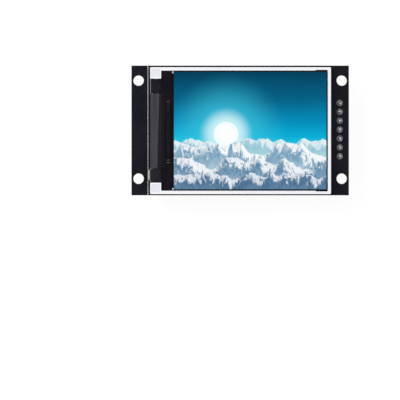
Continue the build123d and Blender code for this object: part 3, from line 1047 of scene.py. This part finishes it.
class Numerals:
    """Plain numerals drawn with a round pen."""

    GAP = 0.34
    WIDTH = 0.6

    def __init__(self) -> None:
        """Works out the ten numerals."""
        six = (Stroke.hoop((0.31, 0.31), (0.29, 0.31)),
               Stroke(bow((0.62, 0.34), (0.60, 0.66), 106.0, 172.0, 6)))
        lines = {
            "1": [[[0.1, 0.78], [0.34, 1.0], [0.34, 0.0]]],
            "2": [bow((0.3, 0.71), (0.28, 0.29), 168.0, -32.0), [[0.02, 0.0], [0.6, 0.0]]],
            "3": [bow((0.28, 0.76), (0.26, 0.24), 150.0, -80.0, 8),
                  bow((0.28, 0.26), (0.31, 0.26), 80.0, -150.0, 8)],
            "4": [[[0.46, 0.0], [0.46, 1.0], [0.0, 0.3], [0.6, 0.3]]],
            "5": [[[0.55, 1.0], [0.1, 1.0], [0.07, 0.58]],
                  bow((0.27, 0.33), (0.32, 0.33), 112.0, -148.0)],
            "7": [[[0.0, 1.0], [0.6, 1.0], [0.2, 0.0]]],
        }
        self.strokes = {name: (Stroke(np.concatenate(runs)),) for name, runs in lines.items()}
        self.strokes["0"] = (Stroke.hoop((0.3, 0.5), (0.3, 0.5)),)
        self.strokes["6"] = six
        self.strokes["8"] = (Stroke.hoop((0.3, 0.76), (0.24, 0.24)),
                             Stroke.hoop((0.3, 0.26), (0.3, 0.26)))
        self.strokes["9"] = tuple(Stroke(np.array([0.6, 1.0]) - s.line, s.ring) for s in six)

    def write(self, number: str, origin: Array, side: Side, height: float, pen: float,
              thickness: float) -> list[Surface]:
        """Draws a number.

        Args:
            number: Its numerals.
            origin: Lower left corner of the first numeral.
            side: Face of the board and reading direction.
            height: Height of a numeral.
            pen: Width of the lines.
            thickness: Thickness of the ink.

        Returns:
            One surface for each stroke.
        """
        parts: list[Surface] = []
        for place, numeral in enumerate(number):
            shift = np.array([place * (self.WIDTH + self.GAP), 0.0])
            for stroke in self.strokes[numeral]:
                line = side.point(origin, (stroke.line + shift) * height)
                parts.append(ribbon(line, side.out(), pen, thickness, stroke.ring))
        return parts

    def length(self, number: str, height: float) -> float:
        """Length of a written number."""
        return height * (len(number) * (self.WIDTH + self.GAP) - self.GAP)


class Workshop:
    """Turns surfaces into named pieces and keeps each finish once."""

    def __init__(self, nodes: dict[str, bpy.types.Object]) -> None:
        """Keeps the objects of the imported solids, by name, and an empty store of finishes."""
        self.nodes = nodes
        self.finishes: dict[str, bpy.types.Material] = {}

    def material(self, finish: Finish) -> bpy.types.Material:
        """Gives the material of a finish, made the first time it is asked for.

        Args:
            finish: The finish.

        Returns:
            Its material.
        """
        if finish.name not in self.finishes:
            self.finishes[finish.name] = finish.make()
        return self.finishes[finish.name]

    def dress(self, finish: Finish, *names: str) -> None:
        """Gives solids their finish.

        Args:
            finish: The finish.
            *names: Names of the solids.
        """
        for name in names:
            mesh = self.nodes[name].data
            mesh.materials.clear()
            mesh.materials.append(self.material(finish))
            LOG.info("dressed %s in %s", name, finish.name)

    def piece(self, name: str, surface: Surface, finish: Finish, slot: str,
              instead_of: Sequence[str] = ()) -> None:
        """Makes one new piece that rides with the module.

        Args:
            name: Name of the piece.
            surface: Its surface in millimetres.
            finish: Its finish.
            slot: The record's material slot; not used.
            instead_of: Solids that it stands for.
        """
        made = surface.stand(name)
        mesh = made.data
        work = bmesh.new()
        work.from_mesh(mesh)
        bmesh.ops.remove_doubles(work, verts=work.verts, dist=1e-7)
        bmesh.ops.recalc_face_normals(work, faces=work.faces)
        work.to_mesh(mesh)
        work.free()
        mesh.polygons.foreach_set("use_smooth", np.ones(len(mesh.polygons), bool))
        mesh.materials.append(self.material(finish))
        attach(made, "root")
        if instead_of:
            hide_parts(*instead_of)
        LOG.info("made %s with %d faces", name, len(mesh.polygons))


# Sub-assemblies of this module


@dataclass
class CircuitBoard:
    """The bare board, its lands and the small parts on its back."""

    shop: Workshop
    resistors: int = 6
    capacitors: int = 2
    diodes: int = 5
    chip_body: float = 1.0
    diode_body: float = 1.2
    tin_ripple: Triple = (0.22, 0.22, 0.22)
    solder_ripple: Triple = (0.19, 0.19, 0.19)

    def mask(self) -> SolderMask:
        """The board's lacquer."""
        return SolderMask("board_lacquer", ink(20, 19, 26), ink(38, 37, 45), ink(108, 97, 72),
                          Span.of("circuit_board"))

    def mask_over_copper(self) -> SolderMask:
        """The same lacquer where copper lies under it, which makes it look a little paler."""
        return replace(self.mask(), name="lacquer_over_copper", lift=1.55)

    def tin(self) -> Plating:
        """Tinned lands and leads."""
        return Plating("tinned_copper", (0.72, 0.72, 0.74), (0.44, 0.44, 0.46), gloss=0.26,
                       matt=0.5, ripple=self.tin_ripple, ripple_depth=0.02)

    def dull_tin(self) -> Plating:
        """Tinned lands under a film of flux."""
        return Plating("fluxed_lands", (0.34, 0.34, 0.35), (0.20, 0.20, 0.21), gloss=0.34,
                       matt=0.5, ripple=self.tin_ripple, ripple_depth=0.02)

    def solder(self) -> Plating:
        """Solder with a bright skin."""
        return Plating("bright_solder", (0.74, 0.74, 0.77), (0.20, 0.20, 0.22), gloss=0.1,
                       matt=0.34, ripple=self.solder_ripple, ripple_depth=0.07)

    def dress(self) -> None:
        """Gives the board and its small parts their finishes."""
        shop = self.shop
        shop.dress(self.mask(), "circuit_board")
        shop.dress(self.tin(), "chip_lands", "flex_lands", "regulator_leads")
        shop.dress(self.dull_tin(), "header_lands")
        shop.dress(self.solder(), "chip_solder", "flex_solder")
        chips_x, diodes_x = Span.of("resistor_1").middle(0), Span.of("diode_1").middle(0)
        chip, diode = self.chip_body / 2, self.diode_body / 2
        shop.dress(ChipBody("resistor_glaze", ink(38, 37, 42), ink(52, 51, 56), chips_x, chip,
                            gloss=0.3), *numbered("resistor", self.resistors))
        shop.dress(ChipBody("capacitor_ceramic", ink(150, 132, 98), ink(118, 100, 74), chips_x,
                            chip, gloss=0.45), *numbered("capacitor", self.capacitors))
        shop.dress(ChipBody("diode_moulding", ink(34, 34, 37), ink(44, 44, 48), diodes_x, diode,
                            gloss=0.55), *numbered("diode", self.diodes))
        shop.dress(Moulding("regulator_moulding", ink(60, 60, 65), ink(74, 74, 79), gloss=0.55,
                            matt=0.7, grain=0.07, grain_depth=0.012, shine=0.3), "regulator_body")


@dataclass
class PinHeader:
    """The seven-pin header and its solder joints on the front."""

    shop: Workshop
    solder: Plating
    pins: int = 7
    land_radius: float = 0.75
    land_height: float = 0.04
    foot_height: float = 0.055
    neck_radius: float = 0.36
    barrel_radius: float = 0.49
    hollow: float = 2.4
    rows: int = 12
    segments: int = 32
    swings: tuple[Triple, ...] = ((2.0, 0.11, 1.9), (3.0, 0.07, 0.8))

    def joint(self, number: int) -> Surface:
        """The solder of one pin: a hollow cone on the land and a plug in the hole.

        The cone's radius falls from the land to the pin as (1 - h)^2.4 of the height share h, which
        is the hollow slope of wetted solder. Each row leaves its circle by two slow waves round the
        pin, whose size fades towards the hole, so that no two joints are alike. Each swing gives a
        wave's number round the pin, its size as a share of the radius and its turn from pin to pin.

        Args:
            number: Number of the pin, from 1.

        Returns:
            The closed surface.
        """
        span = Span.of(f"header_solder_{number}")
        board = Side.FRONT.level()
        bottom, top = span.low[2], span.high[2]
        share = np.linspace(0.0, 1.0, self.rows)
        slope = (self.land_radius - self.neck_radius) * (1.0 - share) ** self.hollow
        foot = board + self.foot_height
        rise = foot + (top - self.land_height - foot) * share
        radius = np.concatenate([[0.0, self.barrel_radius, self.barrel_radius, self.land_radius],
                                 self.neck_radius + slope, [0.8 * self.neck_radius, 0.0]])
        height = np.concatenate([[bottom, bottom, board, board + self.land_height], rise,
                                 [top, top]])
        angle = np.linspace(0.0, math.tau, self.segments, endpoint=False)
        swing = sum(size * np.sin(count * angle + turn * number)
                    for count, size, turn in self.swings)
        weight = np.concatenate([np.zeros(5), np.sin(share[1:] * math.pi) ** 0.7, [0.0, 0.0]])
        return turned(radius, height, (span.middle(0), span.middle(1)), self.segments,
                      weight[:, None] * swing[None, :])

    def build(self) -> None:
        """Builds the joints and dresses the header."""
        self.shop.dress(Plating("pin_plating", (0.83, 0.82, 0.79), (0.66, 0.65, 0.62), gloss=0.2,
                                matt=0.36, ripple=(0.12, 0.12, 1.6), ripple_depth=0.01),
                        *numbered("header_pin", self.pins))
        self.shop.dress(Moulding("header_plastic", ink(34, 34, 36), ink(42, 42, 45), gloss=0.42,
                                 matt=0.58, grain=0.1, grain_depth=0.01), "header_body")
        for number in range(1, self.pins + 1):
            self.shop.piece(f"solder_joint_{number}", self.joint(number), self.solder, "solder",
                            instead_of=(f"header_solder_{number}",))


@dataclass
class BoardPrint:
    """White print of the board: outlines, bars, plain numbers and a millimetre scale."""

    shop: Workshop
    thickness: float = 0.04
    line_width: float = 0.2
    bold_line_width: float = 0.32
    front_line_width: float = 0.14
    front_line_gap: float = 0.7
    front_line_margin: float = 0.15
    outline_gap: float = 0.12
    bar_reach: float = 1.96
    bar_width: float = 0.56
    bar_half: float = 0.7
    pen: float = 0.18
    bold_pen: float = 0.22
    pin_number_height: float = 1.8
    pin_number_x: float = 25.6
    part_number_height: float = 1.2
    regulator_number_height: float = 1.6
    chip_number_x: float = 5.75
    diode_number_x: float = 13.0
    scale_x: float = -15.2
    scale_start: float = 5.8
    scale_length: int = 18
    tick_gap: float = 0.1
    tick_reach: float = 1.3
    fifth_reach: float = 2.4
    scale_number_height: float = 2.1
    scale_number_x: float = -19.5
    field_low: Place = (-10.5, -9.2)
    field_high: Place = (-7.9, 7.6)
    cells: int = 8
    regulator_number: Place = (8.15, 4.3)
    spare_number_x: float = 0.4
    corner_number: Place = (28.3, -11.0)
    numerals: Numerals = field(default_factory=Numerals)
    ink_finish: PrintedInk = PrintedInk("white_print", ink(238, 238, 238), ink(198, 198, 202))

    def line(self, places: Sequence[Place], width: float, side: Side = Side.BACK,
             ring: bool = False, blunt: bool = False) -> Surface:
        """A printed line through several places on the board, closed or with square ends."""
        return side.bar(places, width, self.thickness, ring, blunt)

    def number(self, text: str, x: float, y: float, height: float, side: Side = Side.BACK,
               pen: float | None = None) -> list[Surface]:
        """A number whose middle lies at a place on the back.

        Args:
            text: Its numerals.
            x: Middle, along X.
            y: Middle, along Y.
            height: Height of a numeral.
            side: Face and reading direction.
            pen: Width of its lines as a share of that height, or None for the usual pen.

        Returns:
            One surface for each stroke.
        """
        right, up, _ = (np.array(v) for v in side.value)
        middle = np.array([x, y, side.level()])
        corner = middle - right * self.numerals.length(text, height) / 2 - up * height / 2
        return self.numerals.write(text, corner, side, height, (pen or self.pen) * height,
                                   self.thickness)

    def front_line(self) -> list[Surface]:
        """The line beside the display on the front.

        Returns:
            The line's surface, in a list.
        """
        board, margin = Span.of("circuit_board"), self.front_line_margin
        x = Span.of("backlight_frame").low[0] - self.front_line_gap
        ends = [(x, board.low[1] + margin), (x, board.high[1] - margin)]
        return [self.line(ends, self.front_line_width, Side.FRONT)]

    def header_outline(self) -> list[Surface]:
        """The box round the header on the back.

        Returns:
            The outline's surface, in a list.
        """
        span, gap = Span.of("header_body"), self.outline_gap
        box = rectangle((span.low[0] - gap, span.low[1] - gap),
                        (span.high[0] + gap, span.high[1] + gap))
        return [self.line(box, self.line_width, ring=True)]

    def diode_bars(self) -> list[Surface]:
        """The bar at one end of each diode.

        Returns:
            One surface for each bar.
        """
        bars = []
        for name in numbered("diode", 5):
            x, y = Span.of(name).middle(0) + self.bar_reach, Span.of(name).middle(1)
            ends = [(x, y - self.bar_half), (x, y + self.bar_half)]
            bars.append(self.line(ends, self.bar_width, blunt=True))
        return bars

    def beside(self, names: Sequence[str], first: int, x: float, height: float) -> list[Surface]:
        """Numbers in one column, each on the level of its solid.

        Args:
            names: The solids.
            first: Number of the first one.
            x: Middle of the column.
            height: Height of a numeral.

        Returns:
            One surface for each stroke.
        """
        return [stroke for place, name in enumerate(names)
                for stroke in self.number(str(first + place), x, Span.of(name).middle(1), height)]

    def pin_numbers(self) -> list[Surface]:
        """Numbers 1 to 7 beside the header."""
        return self.beside(numbered("header_pin", 7), 1, self.pin_number_x, self.pin_number_height)

    def part_numbers(self) -> list[Surface]:
        """Plain numbers beside the small parts: two columns, and three that are turned.

        Returns:
            One surface for each stroke.
        """
        small = self.part_number_height
        chips = ["capacitor_1", *numbered("resistor", 6)]
        parts = self.beside(chips, 11, self.chip_number_x, small)
        parts += self.beside(numbered("diode", 5), 21, self.diode_number_x, small)
        spare = (self.spare_number_x, Span.of("capacitor_2").middle(1))
        for text, place, height in (("31", self.regulator_number, self.regulator_number_height),
                                    ("32", spare, small), ("41", self.corner_number, small)):
            parts += self.number(text, *place, height, Side.BACK_TURNED)
        return parts

    def scale(self) -> list[Surface]:
        """A scale of millimetres with a number at every fifth.

        Returns:
            One surface for each line and stroke.
        """
        x, start, width = self.scale_x, self.scale_start, self.bold_line_width
        parts = [self.line([(x, start), (x, start - self.scale_length)], width)]
        for tick in range(self.scale_length + 1):
            fifth, y = tick % 5 == 0, start - tick
            reach = self.fifth_reach if fifth else self.tick_reach
            parts.append(self.line([(x - self.tick_gap, y), (x - reach, y)], width))
            if fifth:
                parts += self.number(str(tick), self.scale_number_x, y, self.scale_number_height,
                                     Side.BACK_TURNED, self.bold_pen)
        return parts

    def blank_field(self) -> list[Surface]:
        """A row of empty cells for a handwritten note.

        Returns:
            One surface for each line.
        """
        (x0, y0), (x1, y1) = self.field_low, self.field_high
        walls = [[(x0, y), (x1, y)] for y in np.linspace(y0, y1, self.cells + 1)[1:-1]]
        outline = rectangle(self.field_low, self.field_high)
        return [self.line(outline, self.bold_line_width, ring=True),
                *(self.line(wall, self.bold_line_width) for wall in walls)]

    def build(self) -> None:
        """Builds the printed pieces."""
        for name, parts in (
            ("print_front_line", self.front_line()),
            ("print_header_outline", self.header_outline()),
            ("print_diode_bars", self.diode_bars()),
            ("print_pin_numbers", self.pin_numbers()),
            ("print_part_numbers", self.part_numbers()),
            ("print_millimetre_scale", self.scale()),
            ("print_blank_field", self.blank_field()),
        ):
            self.shop.piece(name, Surface.joined(parts), self.ink_finish, "board")


@dataclass
class BoardTracks:
    """Copper tracks and closed-over holes that stand up under the lacquer of the back."""

    shop: Workshop
    mask: SolderMask
    track_width: float = 0.25
    power_width: float = 0.8
    track_height: float = 0.022
    header_x: float = 27.2
    bend_x: float = 20.5
    bend_step: float = 0.55
    diode_ends: Place = (10.8, 7.5)
    chip_ends: Place = (4.7, 1.0)
    hole_run: tuple[float, ...] = (-1.2, -2.1, -4.6)
    hole_rise: float = 0.9
    signals: int = 5
    via_radius: float = 0.32
    via_segments: int = 20
    edge_tracks: tuple[tuple[float, tuple[Place, ...]], ...] = (
        (0.45, ((-12.0, -13.6), (23.0, -13.6), (25.5, -11.2))),
        (0.45, ((-12.0, -14.5), (24.0, -14.5))),
        (0.6, ((-13.0, 16.4), (23.5, 16.4), (25.4, 14.6))),
    )
    via_places: tuple[Place, ...] = (
        (-4.6, -5.46), (-4.6, -3.59), (-4.6, -1.72), (-4.6, 0.15), (-4.6, 2.02), (-1.5, 3.4),
        (-14.6, -2.6), (-13.4, 2.8), (-9.0, 2.4), (16.5, 11.4), (18.9, -10.4), (21.8, 12.9),
        (-22.5, -14.6), (-22.5, 14.2),
    )

    def track(self, places: Sequence[Place], width: float) -> Surface:
        """One track through several places on the back."""
        return Side.BACK.bar(places, width, self.track_height)

    def signal_tracks(self) -> list[Surface]:
        """Tracks from the header to the diodes, on to the resistors and to the holes.

        Returns:
            One surface for each track.
        """
        parts = []
        for number in range(1, self.signals + 1):
            pin_y = Span.of(f"header_pin_{number}").middle(1)
            row_y = Span.of(f"diode_{number}").middle(1)
            bend, hole_y = self.bend_x - self.bend_step * number, row_y + self.hole_rise
            leave, rise, stop = self.hole_run
            for places in (
                [(self.header_x, pin_y), (bend, pin_y), (bend - abs(pin_y - row_y), row_y),
                 (self.diode_ends[0], row_y)],
                [(self.diode_ends[1], row_y), (self.chip_ends[0], row_y)],
                [(self.chip_ends[1], row_y), (leave, row_y), (rise, hole_y), (stop, hole_y)],
            ):
                parts.append(self.track(places, self.track_width))
        return parts

    def power_tracks(self) -> list[Surface]:
        """Wider tracks from the header's last pins to the regulator and the spare capacitor.

        Returns:
            One surface for each track.
        """
        sixth, seventh = (Span.of(f"header_pin_{number}").middle(1) for number in (6, 7))
        start, step = self.header_x, sixth + 0.5
        lead = Span.of("regulator_leads").high[0]
        return [self.track(places, self.power_width) for places in (
            [(start, sixth), (10.5, sixth), (9.8, step), (lead + 0.7, step)],
            [(start, seventh), (9.0, seventh), (7.9, 8.8), (4.9, 8.8)],
            [(0.9, 5.35), (-6.0, 5.35), (-9.0, 2.4)],
        )]

    def vias(self) -> list[Surface]:
        """Small rings of copper with a hollow in the middle: a sine of the radius share.

        Returns:
            One surface for each ring.
        """
        share = np.linspace(0.0, 1.0, 9)
        radius = self.via_radius * np.concatenate([[0.0], share[1:], [0.0]])
        bulge = np.sin(np.clip(share * 1.15, 0.0, 1.0) * math.pi) ** 1.4
        level = Side.BACK.level()
        height = level - self.track_height * np.concatenate([bulge, [-0.4]]) + 0.004
        return [turned(radius, height, place, self.via_segments) for place in self.via_places]

    def build(self) -> None:
        """Builds the raised copper."""
        edges = [self.track(places, width) for width, places in self.edge_tracks]
        for name, parts in (
            ("board_tracks", self.signal_tracks() + self.power_tracks() + edges),
            ("board_closed_holes", self.vias()),
        ):
            self.shop.piece(name, Surface.joined(parts), self.mask, "board")


@dataclass
class DisplayCell:
    """Glass cell with its polarisers, driver chip, conductive dots and the folded circuit."""

    shop: Workshop
    rim_side: float = 0.2
    rim_top: float = 0.24
    sun_radius: float = 3.5
    mark_width: float = 0.12
    mark_height: float = 0.012
    mark_insets: Place = (0.05, 0.1)
    mark_gaps: Place = (0.14, 0.85)
    glass: CellGlass = CellGlass("cell_glass", ink(18, 17, 23), ink(26, 20, 26), ink(66, 90, 84),
                                 line_pitch=0.16)

    def hills(self) -> tuple[Hill, ...]:
        """The rows of hills, the farthest first."""
        return (
            Hill(height=0.36, swing=0.075, grains=2.7, start=4.7, snow_line=0.62, depth=0.11,
                 snow=ink(226, 240, 245), rock=ink(146, 196, 212), haze=ink(184, 224, 231)),
            Hill(height=0.30, swing=0.095, grains=2.3, start=11.3, snow_line=0.60, depth=0.15,
                 snow=ink(248, 250, 252), rock=ink(112, 156, 184), haze=ink(184, 210, 222)),
            Hill(height=0.19, swing=0.085, grains=2.9, start=23.9, snow_line=0.60, depth=0.14,
                 snow=ink(240, 244, 248), rock=ink(88, 132, 164), haze=ink(160, 188, 206)),
            Hill(height=0.09, swing=0.060, grains=3.6, start=37.2, snow_line=0.58, depth=0.12,
                 snow=ink(226, 233, 241), rock=ink(70, 108, 142), haze=ink(118, 150, 176)),
        )

    def screen(self) -> LitScreen:
        """The lit picture, fitted to the front polariser.

        Returns:
            The finish.
        """
        film = Span.of("front_polariser")
        sky = ((0.30, ink(140, 230, 236)), (0.37, ink(36, 204, 230)), (0.46, ink(4, 172, 212)),
               (0.58, ink(0, 138, 184)), (0.76, ink(0, 98, 136)), (1.0, ink(0, 62, 90)))
        sun = Sun(film.low[0] + 0.34 * film.size(0), film.low[1] + 0.47 * film.size(1),
                  self.sun_radius, inside=ink(255, 255, 255), edge=ink(244, 252, 253),
                  near_glow=ink(206, 243, 248), far_glow=ink(58, 200, 226))
        return LitScreen("lit_screen", film, self.rim_side, self.rim_top, ink(26, 34, 46), sky,
                         self.hills(), sun)

    def chip_marks(self) -> list[Surface]:
        """Short pale marks on the glass at the two ends of the driver chip.

        Returns:
            One surface for each mark.
        """
        chip, glass = Span.of("driver_chip"), Span.of("rear_glass").high[2]
        start, stop = chip.low[0] + self.mark_insets[0], chip.high[0] - self.mark_insets[1]
        near, far = self.mark_gaps
        return [ribbon(np.array([[start, y, glass], [stop, y, glass]]), Side.FRONT.out(),
                       self.mark_width, self.mark_height)
                for y in (chip.high[1] + near, chip.low[1] - near, chip.low[1] - far)]

    def build(self) -> None:
        """Dresses the cell and lays its marks."""
        shop = self.shop
        shop.dress(self.screen(), "front_polariser")
        shop.dress(self.glass, "front_glass", "rear_glass")
        shop.dress(Moulding("rear_film", ink(58, 60, 66), ink(66, 68, 75), gloss=0.25, matt=0.35),
                   "rear_polariser")
        shop.dress(Moulding("driver_silicon", ink(20, 20, 26), ink(26, 25, 32), gloss=0.16,
                            matt=0.28, grain=0.4, grain_depth=0.002, shine=0.18), "driver_chip")
        shop.dress(Plating("silver_paste", (0.56, 0.57, 0.60), (0.36, 0.36, 0.39), gloss=0.45,
                           matt=0.62, ripple=(0.07, 0.07, 0.07), ripple_depth=0.03), "paste_dots")
        nose = Span.of("flex_circuit").low[0]
        # The grey and streak colours of the flex are painted sheen; the dark one is the film's own
        # tone.
        shop.dress(FlexFilm("folded_film", ink(56, 55, 62), ink(67, 65, 74), ink(18, 15, 22),
                            fold_x=nose + 0.8, bond_x=nose + 2.36, bond_slant=0.024,
                            conductor_pitch=0.5), "flex_circuit")
        marks = Moulding("glass_marks", ink(118, 120, 126), ink(92, 94, 100), gloss=0.3, matt=0.5)
        shop.piece("driver_end_marks", Surface.joined(self.chip_marks()), marks, "glass")


@dataclass
class Backlight:
    """White frame, light guide, films, tape and the strip of lamps."""

    shop: Workshop
    tail_inset: float = 0.6
    tail_width: float = 3.05
    coat_gap: float = 0.18
    recess_depth: float = 0.12
    lamps: int = 4

    def dress(self) -> None:
        """Gives the backlight its finishes."""
        shop = self.shop
        frame, tape, strip = (Span.of(name) for name in
                              ("backlight_frame", "shading_tape", "light_strip"))
        # The recess and step colours are painted shade on the white frame.
        shop.dress(FrameMoulding("white_frame", ink(239, 240, 243), ink(234, 235, 240),
                                 recess=ink(221, 222, 230),
                                 recess_height=frame.high[2] - self.recess_depth,
                                 step=ink(136, 137, 143), step_height=tape.low[2],
                                 step_x=tape.low[0] + 0.1), "backlight_frame")
        shop.dress(ShadedTape("black_tape", ink(20, 20, 26), ink(31, 29, 37), frame.middle(1)),
                   "shading_tape")
        shop.dress(TailFilm("lamp_strip_film", ink(176, 175, 161), ink(124, 127, 106),
                            ink(42, 40, 46), strip.low[1] + self.tail_inset + self.tail_width / 2,
                            self.tail_width / 2, frame.low[0] - self.coat_gap), "light_strip")
        # The pore colour is painted shade deep in the foam's cells.
        shop.dress(Foam("white_foam", ink(228, 228, 226), ink(170, 170, 166), pore_size=0.16),
                   "foam_strip_left", "foam_strip_right")
        for name, tone, shade, gloss, matt, solids in (
            ("mirror_film", ink(236, 236, 238), ink(226, 226, 230), 0.18, 0.3,
             ["reflector_sheet"]),
            ("light_guide_acrylic", ink(226, 232, 238), ink(216, 224, 232), 0.06, 0.12,
             ["light_guide"]),
            ("diffusing_film", ink(232, 233, 236), ink(222, 224, 228), 0.6, 0.8,
             ["diffuser_sheet", "prism_sheet_lower", "prism_sheet_upper"]),
            ("lamp_body", ink(240, 236, 214), ink(228, 220, 188), 0.3, 0.45,
             numbered("lamp", self.lamps)),
        ):
            shop.dress(Moulding(name, tone, shade, gloss, matt), *solids)


# Studio


@dataclass
class Studio:
    """Pale floor, soft lamps, white surroundings and the camera."""

    frame_centre: Place = (-11.457, -20.084)
    frame_width: float = 114.08
    camera_height: float = 500.0
    board_face: float = 1.6
    sensor_width: float = 36.0
    floor_gap: float = 0.05
    floor_size: float = 3000.0
    floor_tone: float = 0.80
    shadow_tone: float = 0.16
    seen_glow: float = 0.88
    mirrored_glow: float = 0.95
    world_light: float = 0.5
    lens_edges: Place = (0.90, 0.985)
    lens_tones: Place = (0.92, 0.10)
    lamps: tuple[tuple[str, Triple, float, float], ...] = (
        ("key_lamp", (-420.0, 300.0, 520.0), 420.0, 3.4),
        ("fill_lamp", (460.0, -360.0, 480.0), 520.0, 1.8),
    )

    def glance(self, wiring: Wiring) -> tuple[Socket, Socket]:
        """Masks of the camera's rays, and of rays off a mirror or through glass."""
        rays = wiring.node("LightPath").outputs
        return rays["Is Camera Ray"], wiring.math("MAXIMUM", rays["Is Glossy Ray"],
                                                  rays["Is Transmission Ray"])

    def floor(self) -> None:
        """Makes the floor: white to the camera, with the soft shadow of the module on it."""
        half = self.floor_size / 2
        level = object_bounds()[0][2] / METRES - self.floor_gap
        x, y = np.meshgrid([-half, 0.0, half], [-half, 0.0, half])
        made = Surface.woven(np.stack([x, y, np.full_like(x, level)], axis=-1)).stand("floor")
        made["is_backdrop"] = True
        paper = bpy.data.materials.new("floor_paper")
        wiring = Wiring(paper)
        camera, mirrored = self.glance(wiring)
        plain = wiring.node("BsdfDiffuse", {"Color": (self.floor_tone,) * 3}).outputs[0]
        faint = wiring.node("BsdfDiffuse", {"Color": (self.shadow_tone,) * 3}).outputs[0]
        white = wiring.node("Emission", {"Strength": self.seen_glow}).outputs[0]
        seen = wiring.node("AddShader", {0: faint, 1: white}).outputs[0]
        bright = wiring.node("Emission", {"Strength": self.mirrored_glow}).outputs[0]
        clear = wiring.node("BsdfTransparent").outputs[0]
        under = wiring.node("NewGeometry").outputs["Backfacing"]
        shown = plain
        for mask, shader in ((camera, seen), (mirrored, bright), (under, clear)):
            shown = wiring.node("MixShader", {0: mask, 1: shown, 2: shader}).outputs[0]
        wiring.node("OutputMaterial", {"Surface": shown})
        made.data.materials.append(paper)

    def surroundings(self) -> None:
        """Makes the world: white to the camera and to mirrors, with the dark lens overhead."""
        world = bpy.data.worlds.new("studio")
        bpy.context.scene.world = world
        wiring = Wiring(world)
        camera, mirrored = self.glance(wiring)
        towards = wiring.node("TexCoord").outputs["Generated"]
        up = wiring.node("SeparateXYZ", {0: towards}).outputs[2]
        overhead = wiring.ease(up, *self.lens_edges, *self.lens_tones)
        light = wiring.node("Mix", {0: mirrored, 2: self.world_light, 3: overhead},
                            data_type="FLOAT").outputs[0]
        strength = wiring.node("Mix", {0: camera, 2: light, 3: 1.0}, data_type="FLOAT").outputs[0]
        sky = wiring.node("Background", {"Color": (1.0, 1.0, 1.0), "Strength": strength})
        wiring.node("OutputWorld", {"Surface": sky.outputs[0]})

    def lamp(self, name: str, place: Triple, size: float, power: float) -> None:
        """Makes one soft square lamp that looks at the module.

        Args:
            name: Name of the lamp.
            place: Its place in millimetres.
            size: Length of its side in millimetres.
            power: Its power in watts.
        """
        light = bpy.data.lights.new(name, "AREA")
        light.size = size * METRES
        light.energy = power
        made = stand(name, light)
        made.location = scaled(place, METRES)
        away = np.array(place, float)
        away /= np.linalg.norm(away)
        made.rotation_euler = (math.acos(away[2]), 0.0, math.atan2(away[1], away[0]) + math.pi / 2)

    def camera(self) -> None:
        """Puts the camera straight above the middle of the frame, looking down."""
        lens = bpy.data.cameras.new("camera")
        lens.sensor_width = self.sensor_width
        lens.lens = lens.sensor_width * self.camera_height / self.frame_width
        lens.clip_start, lens.clip_end = 0.01, 20.0
        made = stand("camera", lens)
        made.location = scaled((*self.frame_centre, self.board_face + self.camera_height), METRES)
        bpy.context.scene.camera = made

    def build(self) -> None:
        """Makes the studio."""
        self.floor()
        self.surroundings()
        for name, place, size, power in self.lamps:
            self.lamp(name, place, size, power)
        self.camera()
        bpy.context.scene.view_settings.view_transform = "Standard"


def plain(box: Sequence[Sequence[float]]) -> list[list[float]]:
    """Turns a box into plain lists of numbers."""
    return [[float(v) for v in corner] for corner in box]


def main() -> None:
    """Loads the solids, dresses them and builds the added pieces and the studio."""
    logging.basicConfig(level=logging.INFO, format="%(message)s")
    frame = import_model()
    shop = Workshop(frame["nodes"])
    board = CircuitBoard(shop)
    board.dress()
    PinHeader(shop, board.solder()).build()
    BoardTracks(shop, board.mask_over_copper()).build()
    BoardPrint(shop).build()
    Backlight(shop).dress()
    DisplayCell(shop).build()
    Studio().build()


if __name__ == "__main__":
    main()
